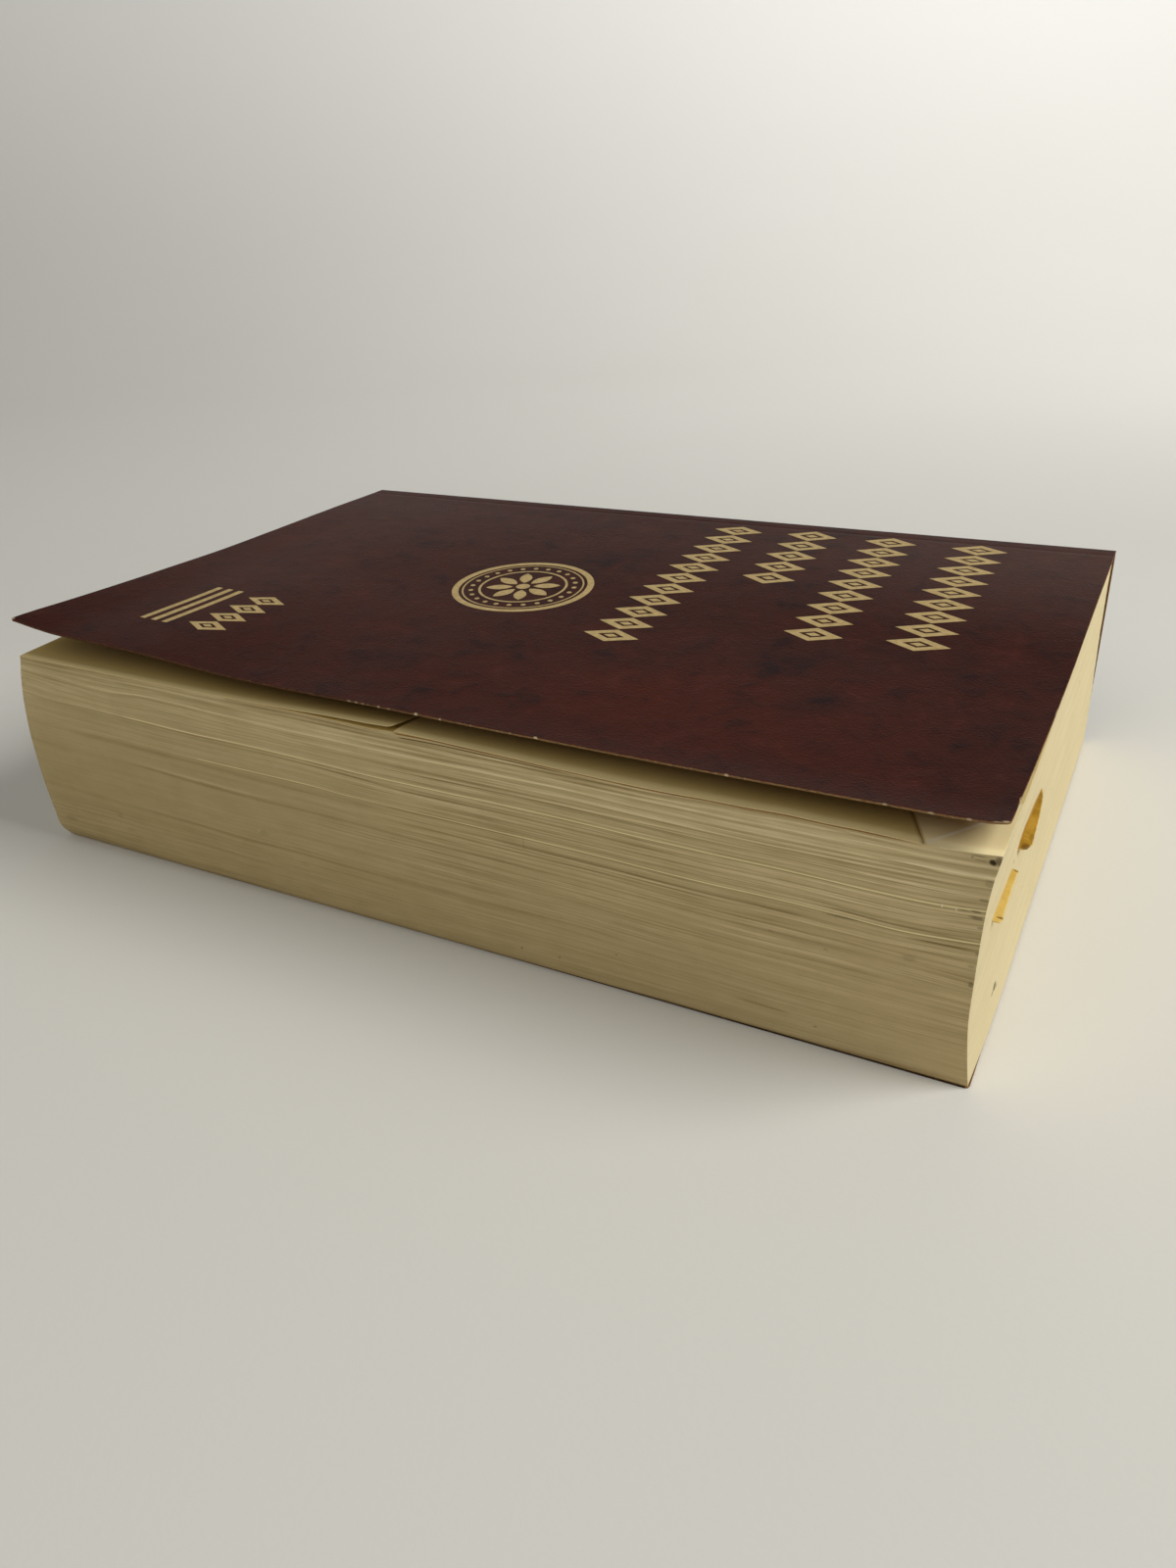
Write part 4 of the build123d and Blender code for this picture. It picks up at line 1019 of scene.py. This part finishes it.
chip_x = np.concatenate([[c - h, c - h / 2, c, c + h / 2, c + h] for c, h, _, _ in CHIPS])
xf = np.unique(np.round(np.concatenate([
    spaced([(0, 0.4, 0.13), (0.4, 2, 0.5), (2, 205, 1.6), (205, 214, 0.8), (214, 216.5, 0.25), (216.5, 216.72, 0.11)]), chip_x]), 3))
xf = xf[np.concatenate([[True], np.diff(xf) > 0.06])]
xf = xf / xf[-1]
cy = np.array([0, .08, .2, .4, .7, 1.05, 1.5, 2.1, 3, 4, 5.5, 7.5, 9.4, 10.4, 11.3, 13, 16, 19, 23, 27, 31, 36, 41, 46, 52, 58, 64, 70, 76, 82, 88, 94,
               100, 106, 112, 118, 123, 127, 130, 132.4, 134, 134.8, 135.3, 135.6, 135.9, 136.4, 137.2, 138.3, 139.0, 139.5])
start = 0.80 * np.maximum(1 - cy / 0.75, 0.0) ** 1.5 + 0.03 * value_noise(cy / 0.8, 0.5, 81) + 0.03
stop = table(HEAD_EDGE, cy) - 0.02 - 0.03 * np.abs(value_noise(cy / 1.1, 0.5, 83))
cx = cover_rows(cy, start, stop, xf)
fray = 0.035 * np.abs(value_noise(cx[0] / 0.7, 0.5, 85)) + 0.03 * np.abs(value_noise(cx[0] / 3.1, 0.5, 86))
for c, h, depth, _ in CHIPS:
    fray = np.maximum(fray, 0.75 * depth * np.exp(-(((cx[0] - c) / h) ** 2)))
yy = cy[:, None] + fray[None, :] * np.exp(-(cy[:, None] / 0.25) ** 2)
yy = yy + 0.10 * smoothstep((cx - 214.9) / 1.2) * np.exp(-(cy[:, None] / 0.5) ** 2)
zo = front_outer(cx, yy)
outer = np.stack([cx, yy, zo], -1)
under = outer - [0, 0, CARD]
rim_d = np.minimum(np.minimum(yy - 0.0, stop[:, None] - cx), cx - start[:, None])
rim_d = np.minimum(np.maximum(rim_d, 0), 5.0)
# the leather layer turns down a hair at the cut
edge_round = 0.06 * np.exp(-(rim_d / 0.07))
outer[..., 2] -= edge_round
red = patches(RED, cx, yy)
blot = patches(BLOT, cx, yy)

front = Builder("red", "blot", "rim")
front.grid(outer, 0, red=red, blot=blot, rim=rim_d)
front.grid(under, 2)


def thickness(builder, upper, lower, kind, seed, ragged):
    """Cut edge of the card between matching rows, slightly ragged: rows of points across the thickness."""
    steps = []
    for k, f in enumerate((0.0, 0.25, 0.5, 0.75, 1.0)):
        p = upper * (1 - f) + lower * f
        if 0 < f < 1:
            n = value_noise(np.arange(len(p)) / 1.3, 3.0 * k, seed)
            p = p + ragged[None, :] * (0.045 * n[:, None] + 0.01)
        steps.append(p)
    builder.grid(np.stack(steps), kind, rim=0.0)


thickness(front, outer[0], under[0], 1, 87, np.array([0, 1.0, 0]))
thickness(front, outer[:, 0], under[:, 0], 1, 88, np.array([1.0, 0, 0]))
thickness(front, outer[:, -1], under[:, -1], 1, 89, np.array([-1.0, 0, 0]))


def fold_round(x, axis_z, radius, a_from, a_to, steps=10):
    """Arc of points about a fold axis, [step][x]; angles from +Y towards +Z, in degrees."""
    out = []
    for a in np.radians(np.linspace(a_from, a_to, steps + 1)):
        out.append(np.stack([x, FOLD_Y + radius * math.cos(a) + 0 * x, axis_z + radius * math.sin(a)], -1))
    return np.stack(out)


end_x = cx[-1]
arc = fold_round(end_x, fold_height(end_x), FOLD_R, 90, -90)
arc[0], arc[-1] = outer[-1], under[-1]
front.grid(arc, 0, rim=3.0, blot=0.1)
for side in (0, -1):
    front.polygon(np.concatenate([arc[:, side], [(arc[0, side] + arc[-1, side]) / 2]])[:-1], 1)


# ----- plain printed shapes in place of print: thin raised gold ---------------------------
def on_cover(points, lift):
    p = np.asarray(points, float)
    return np.stack([p[:, 0], p[:, 1], front_outer(p[:, 0], p[:, 1]) + lift], -1)


HIGH, LOW = 0.035, -0.05


def refine(points, most=1.6):
    """Closed outline with its long sides divided."""
    out = []
    for a, b in zip(points, np.roll(points, -1, 0)):
        n = max(1, int(math.ceil(np.linalg.norm(b - a) / most)))
        out.extend(a + (b - a) * k / n for k in range(n))
    return np.array(out)


def band(builder, outer_line, inner_line):
    """Raised closed band between two matching outlines."""
    a, b = np.vstack([outer_line, outer_line[:1]]), np.vstack([inner_line, inner_line[:1]])
    builder.grid(np.stack([on_cover(a, LOW), on_cover(a, HIGH), on_cover(b, HIGH), on_cover(b, LOW), on_cover(a, LOW)]), 3)


def solid(builder, outline):
    """Raised solid shape: convex outline shrunk to its middle."""
    mid = outline.mean(0)
    rows = [outline, outline * 0.5 + mid * 0.5, outline * 0.001 + mid * 0.999]
    rows = [np.vstack([r, r[:1]]) for r in rows]
    low = [on_cover(r, LOW) for r in rows]
    high = [on_cover(r, HIGH) for r in rows]
    builder.grid(np.stack(low[::-1] + high), 3)


def lozenge(cx, cy, hx, hy):
    return np.array([(cx - hx, cy), (cx, cy - hy), (cx + hx, cy), (cx, cy + hy)])


def circle(cx, cy, r, n=96):
    a = np.linspace(0, 2 * math.pi, n + 1)[:-1]
    return np.stack([cx + r * np.cos(a), cy + r * np.sin(a)], -1)


def bar(x0, x1, y0, y1):
    return np.array([(x0, y0), (x1, y0), (x1, y1), (x0, y1)])


def frieze(builder, x0, x1, y0, y1, count, stroke):
    """A row of open lozenges with a small solid one in each, between two thin lines' worth of space."""
    step = (y1 - y0) / count
    mid, hx, hy = (x0 + x1) / 2, (x1 - x0) / 2, step / 2 - 0.25
    shrink = 1 - stroke * math.hypot(1 / hx, 1 / hy)
    for k in range(count):
        c = y0 + step * (k + 0.5)
        big = refine(lozenge(mid, c, hx, hy))
        small = (big - [mid, c]) * shrink + [mid, c]
        band(builder, big, small)
        solid(builder, refine(lozenge(mid, c, hx * 0.26, hy * 0.26)))


frieze(front, 179.3, 192.7, 66.8, 135.0, 9, 1.6)
frieze(front, 157.7, 170.7, 64.9, 135.0, 9, 1.6)
frieze(front, 137.2, 150.3, 93.8, 135.0, 5, 1.6)
frieze(front, 117.3, 130.5, 49.3, 133.8, 11, 1.6)
frieze(front, 33.8, 44.7, 16.8, 42.9, 4, 1.3)
for k in range(3):
    x0 = 21.6 + k * 3.3
    solid(front, refine(bar(x0, x0 + 1.5, 17.2, 42.6)))

CX, CY = 89.8, 74.0
band(front, circle(CX, CY, 17.3), circle(CX, CY, 15.7))
band(front, circle(CX, CY, 14.9), circle(CX, CY, 14.5))
band(front, circle(CX, CY, 10.9), circle(CX, CY, 10.3))
for k in range(24):
    a = math.radians(15 * k)
    solid(front, circle(CX + 12.7 * math.cos(a), CY + 12.7 * math.sin(a), 0.62, 12))
for k in range(8):
    a = math.radians(45 * k + 22.5)
    along, across = np.array([math.cos(a), math.sin(a)]), np.array([-math.sin(a), math.cos(a)])
    f = np.linspace(0, 1, 9)
    side = 1.55 * np.sin(math.pi * f) ** 0.8
    spine_line = np.array([CX, CY]) + along[None, :] * (2.5 + 6.6 * f)[:, None]
    petal = np.vstack([spine_line + across * side[:, None], (spine_line - across * side[:, None])[-2:0:-1]])
    solid(front, petal)
solid(front, circle(CX, CY, 1.7, 24))

front_cover = front.write("front_cover_card", [cover_outer, core, inner, gold], sharp=math.radians(50))
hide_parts("front_cover")
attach(front_cover, "front_panel")


# ----- spine panel -----------------------------------------------------------------------
SPINE_R = 0.17
sx = spaced([(0.04, 0.3, 0.13), (0.3, 2, 0.6), (2, 214, 2.65), (214, 216.0, 0.5), (216.0, 216.22, 0.11)])
rows, worn = [], []
low_z, high_z = np.full_like(sx, FOLD_R), fold_height(sx)
f = spaced([(0, 0.06, 0.01), (0.06, 0.94, 0.025), (0.94, 1.0, 0.01)])
panel = []
for k in f:
    z = low_z * (1 - k) + high_z * k
    # a soft crease or two from reading, and a shallow wave
    dent = (0.05 * np.exp(-(((z - 40.5) / 0.5) ** 2)) * smoothstep((sx - 60) / 50) + 0.04 * np.exp(-(((z - 8.0) / 0.6) ** 2))
            + 0.02 * (1 + value_noise(sx / 30.0, z / 9.0, 91)) * smoothstep(k / 0.04) * smoothstep((1 - k) / 0.04))
    panel.append(np.stack([sx, FOLD_Y + FOLD_R - 0.0 - dent - (FOLD_R - SPINE_R) * np.maximum(1 - k / 0.03, 0).clip(0, 1)
                           - (FOLD_R - SPINE_R) * np.maximum(1 - (1 - k) / 0.03, 0).clip(0, 1), z], -1))
panel = np.stack(panel)
up = fold_round(sx, high_z, SPINE_R, 0, 180)
down = fold_round(sx, low_z, SPINE_R, -180, 0)
inside_face = np.stack([up[-1], up[-1] * 0.5 + down[0] * 0.5, down[0]])
loop = np.concatenate([panel, up[1:], inside_face[1:], down[1:]])
kinds = np.concatenate([np.zeros((len(panel) + len(up) - 2, len(sx) - 1)), np.full((2, len(sx) - 1), 2), np.zeros((len(down) - 1, len(sx) - 1))])
spine = Builder("red", "blot", "rim")
spine_rim = np.minimum(loop[..., 0] - sx[0], sx[-1] - loop[..., 0])
spine.grid(loop, kinds.astype(int), red=0.25, blot=0.15, rim=spine_rim)
for side in (0, -1):
    ring = loop[:-1, side]
    spine.polygon(ring, 1)
cover_spine = spine.write("cover_spine_card", [cover_outer, core, inner], sharp=math.radians(50))
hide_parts("cover_spine")
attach(cover_spine, "book_block")


# ----- back cover --------------------------------------------------------------------------
by = np.array([0, .1, .25, .5, .8, 1.2, 1.8, 2.4, 4, 7, 11, 16, 23, 31, 40, 50, 60, 70, 80, 90, 100, 110, 118, 125, 130, 133.5, 135, 135.6, 136.2, 137.5, 138.8, 139.5])
bx = spaced([(0, 0.4, 0.2), (0.4, 3, 0.65), (3, 212, 2.6), (212, 215.6, 0.9), (215.6, 216.05, 0.15)]) / 216.05
b_start = table([(0, 2.4), (0.35, 1.3), (1.2, 0.5), (2.4, 0.2), (139.65, 0.2)], by) + 0.03
b_stop = table([(0, 215.55), (0.2, 216.05), (0.8, 216.25), (139.65, 216.25)], by) - 0.03 - 0.03 * np.abs(value_noise(by / 1.2, 0.5, 93))
gx = cover_rows(by, b_start, b_stop, bx)
gy = by[:, None] + 0.05 * np.abs(value_noise(gx[0] / 1.1, 0.5, 95))[None, :] * np.exp(-(by[:, None] / 0.3) ** 2)
groove = 0.06 * np.exp(-(((gy - 135.6) / 0.55) ** 2))
bottom = np.stack([gx, gy, 0.0 + groove + 0.015 * (1 + value_noise(gx / 25.0, gy / 18.0, 97)) * smoothstep((138.0 - gy) / 4.0) * smoothstep(gy / 3.0)], -1)
upper = np.stack([gx, gy, np.full_like(gx, CARD)], -1)
b_rim = np.minimum(np.minimum(gy, b_stop[:, None] - gx), gx - b_start[:, None]).clip(0, 5)
back = Builder("red", "blot", "rim")
back.grid(bottom, 0, red=0.3 + 0.3 * value_noise(gx / 40.0, gy / 30.0, 98), blot=0.3 * (value_noise(gx / 14.0, gy / 11.0, 99) > 0.2), rim=b_rim)
back.grid(upper, 2)
thickness(back, bottom[0], upper[0], 4, 101, np.array([0, 1.0, 0]))
thickness(back, bottom[:, 0], upper[:, 0], 1, 102, np.array([1.0, 0, 0]))
thickness(back, bottom[:, -1], upper[:, -1], 1, 103, np.array([-1.0, 0, 0]))
arc = fold_round(gx[-1], np.full_like(gx[-1], FOLD_R), FOLD_R, -90, 90)
arc[0], arc[-1] = bottom[-1], upper[-1]
back.grid(arc, 0, rim=3.0)
for side in (0, -1):
    back.polygon(arc[:, side], 1)
back_cover = back.write("back_cover_card", [cover_outer, core, inner, gold, dark_core], sharp=math.radians(50))
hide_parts("back_cover")
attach(back_cover, "back_panel")


# ----- binding glue: the CAD solid is right, with its own material ------------------------------
glue_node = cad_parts["spine_glue"]
glue_node.data.materials.clear()
glue_node.data.materials.append(glue)


# ----- tabs --------------------------------------------------------------------------------------
def tab(name, node, outline, low, thick, material, droop, seed):
    """A tab with a soft, ragged free edge. outline runs along the free edge: rows of (y, x)."""
    rows = np.asarray(outline, float)
    ys = np.unique(np.concatenate([np.linspace(rows[0, 0], rows[-1, 0], 72), rows[:, 0]]))
    reach = np.interp(ys, rows[:, 0], rows[:, 1]) - 0.02
    reach = reach - 0.07 * np.abs(value_noise(ys / 0.55, 0.5, seed)) - 0.05 * np.abs(value_noise(ys / 1.9, 0.5, seed + 1))
    f = spaced([(0, 0.75, 0.15), (0.75, 1.0, 0.03)])
    x = 206.0 + (reach - 206.0)[None, :] * f[:, None]
    y = np.repeat(ys[None, :], len(f), 0)
    free = np.maximum(x - 214.9, 0)
    z = low + thick - 0.02 - droop * free - 0.05 * np.abs(value_noise(y / 2.2, x / 0.9, seed + 2)) * smoothstep(free)
    up = np.stack([x, y, z], -1)
    down = up - [0, 0, thick - 0.06]
    near = np.minimum(reach[None, :] - x, np.minimum(y - ys[0], ys[-1] - y)).clip(0, 5)
    b = Builder("rim")
    b.grid(up, 0, rim=near)
    b.grid(down, 0, rim=near)
    for a, c in ((up[0], down[0]), (up[-1], down[-1]), (up[:, 0], down[:, 0]), (up[:, -1], down[:, -1])):
        b.grid(np.stack([a, c]), 0, rim=0.0)
    obj = b.write(name, [material], sharp=math.radians(50))
    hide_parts(node)
    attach(obj, "book_block")
    return obj


# the long tab's deeper ochre is partly painted shade where it droops
long_look = tab_look("tab_long_ochre", srgb(158, 121, 28), srgb(188, 148, 52), [(216.2, 33.4, 0, 1.0, 1.4, 0.75), (216.6, 37.0, 0, 0.5, 1.8, 0.35), (215.8, 52.0, 0, 0.6, 2.5, 0.3)])
short_look = tab_look("tab_short_ochre", srgb(206, 170, 82), srgb(220, 190, 108), [(216.0, 27.6, 0, 0.8, 0.5, 0.7), (215.9, 12.2, 0, 0.8, 0.35, 0.8)])
tab("index_tab_long_card", "index_tab_long",
    [(31.8, 215.0), (33.2, 216.6), (35.2, 217.2), (38.0, 217.05), (42.0, 216.9), (46.0, 216.7), (50.0, 216.4), (53.2, 216.1), (56.0, 215.5)],
    29.3, 0.3, long_look, 0.10, 111)
tab("index_tab_short_card", "index_tab_short",
    [(10.9, 216.1), (11.8, 216.4), (15.5, 216.25), (25.4, 216.15), (27.6, 216.2), (28.2, 214.7)],
    27.6, 0.3, short_look, 0.08, 117)


# ----- floor, backdrop, light, camera --------------------------------------------------------------
def stage_look():
    k = Look("pale_floor")
    cloud = k.noise(k.mm, 0.004, 2.0)
    tooth = k.noise(k.mm, 0.8, 2.0, 0.6)
    base = k.mix(cloud, srgb(226, 224, 217), srgb(230, 229, 223))
    base = k.mix(k.span(k.z, 0.0, 300.0), base, srgb(246, 245, 240))
    k.bump((tooth, 0.03))
    return k.finish(base, 0.9, 0.1)


AZ, EL, ROLL = math.radians(-28.8777), math.radians(29.3424), math.radians(-3.2718)
ahead = Vector((math.sin(AZ), math.cos(AZ), 0.0))
aside = Vector((math.cos(AZ), -math.sin(AZ), 0.0))
profile = [(-7.0, 0.0), (-2.0, 0.0), (0.0, 0.0), (0.55, 0.0)]
profile += [(0.55 + 0.6 * math.sin(a), 0.6 - 0.6 * math.cos(a)) for a in np.linspace(0.1, math.pi / 2, 14)]
profile = [(d, h) for d, h in profile if h < 0.5]
mesh = bpy.data.meshes.new("floor")
points, faces = [], []
for d, h in profile:
    for s in (-6.0, 6.0):
        p = ahead * d + aside * s
        points.append((p.x, p.y, h - 0.00002))
for k in range(len(profile) - 1):
    faces.append((2 * k, 2 * k + 1, 2 * k + 3, 2 * k + 2))
mesh.from_pydata(points, [], faces)
mesh.polygons.foreach_set("use_smooth", [True] * len(faces))
mesh.materials.append(stage_look())
floor = bpy.data.objects.new("floor", mesh)
bpy.context.scene.collection.objects.link(floor)


def area_light(name, place, target, size, power, colour):
    data = bpy.data.lights.new(name, "AREA")
    data.shape, data.size, data.size_y = "RECTANGLE", size[0], size[1]
    data.energy, data.color = power, colour
    lamp = bpy.data.objects.new(name, data)
    bpy.context.scene.collection.objects.link(lamp)
    lamp.location = place
    lamp.rotation_mode = "QUATERNION"
    lamp.rotation_quaternion = (Vector(target) - Vector(place)).to_track_quat("-Z", "Y")
    return lamp


area_light("window", (0.95, 0.24, 0.92), (0.0, 0.0, 0.0), (0.7, 0.7), 12.4, (1.0, 0.985, 0.95))
area_light("fill", (-0.10, -0.95, 1.15), (0.0, 0.0, 0.0), (1.0, 1.0), 3.5, (1.0, 0.985, 0.96))
# washes the backdrop only: it stands over the book and faces away from it
wash = ahead * 0.35 + aside * 0.50 + Vector((0.0, 0.0, 0.60))
area_light("backdrop wash", wash, wash + ahead * 0.8 + Vector((0.0, 0.0, -0.25)), (0.8, 0.4), 2.9, (1.0, 1.0, 1.0))

world = bpy.data.worlds.new("studio")
world.use_nodes = True
sky = world.node_tree.nodes["Background"]
sky.inputs[0].default_value = (1.0, 0.985, 0.96, 1.0)
sky.inputs[1].default_value = 0.18
bpy.context.scene.world = world
bpy.context.scene.view_settings.view_transform = "Standard"

ahead3 = Vector((math.sin(AZ) * math.cos(EL), math.cos(AZ) * math.cos(EL), -math.sin(EL)))
side3 = ahead3.cross(Vector((0, 0, 1))).normalized()
up3 = side3.cross(ahead3)
side, up = math.cos(ROLL) * side3 + math.sin(ROLL) * up3, -math.sin(ROLL) * side3 + math.cos(ROLL) * up3
data = bpy.data.cameras.new("camera")
data.sensor_fit, data.sensor_width, data.lens = "AUTO", 36.0, 27.348
data.clip_start, data.clip_end = 0.01, 30.0
camera = bpy.data.objects.new("camera", data)
bpy.context.scene.collection.objects.link(camera)
turn = Matrix((side, up, -ahead3)).transposed().to_4x4()
camera.matrix_world = Matrix.Translation((0.126456, -0.229635, 0.148398)) @ turn
bpy.context.scene.camera = camera
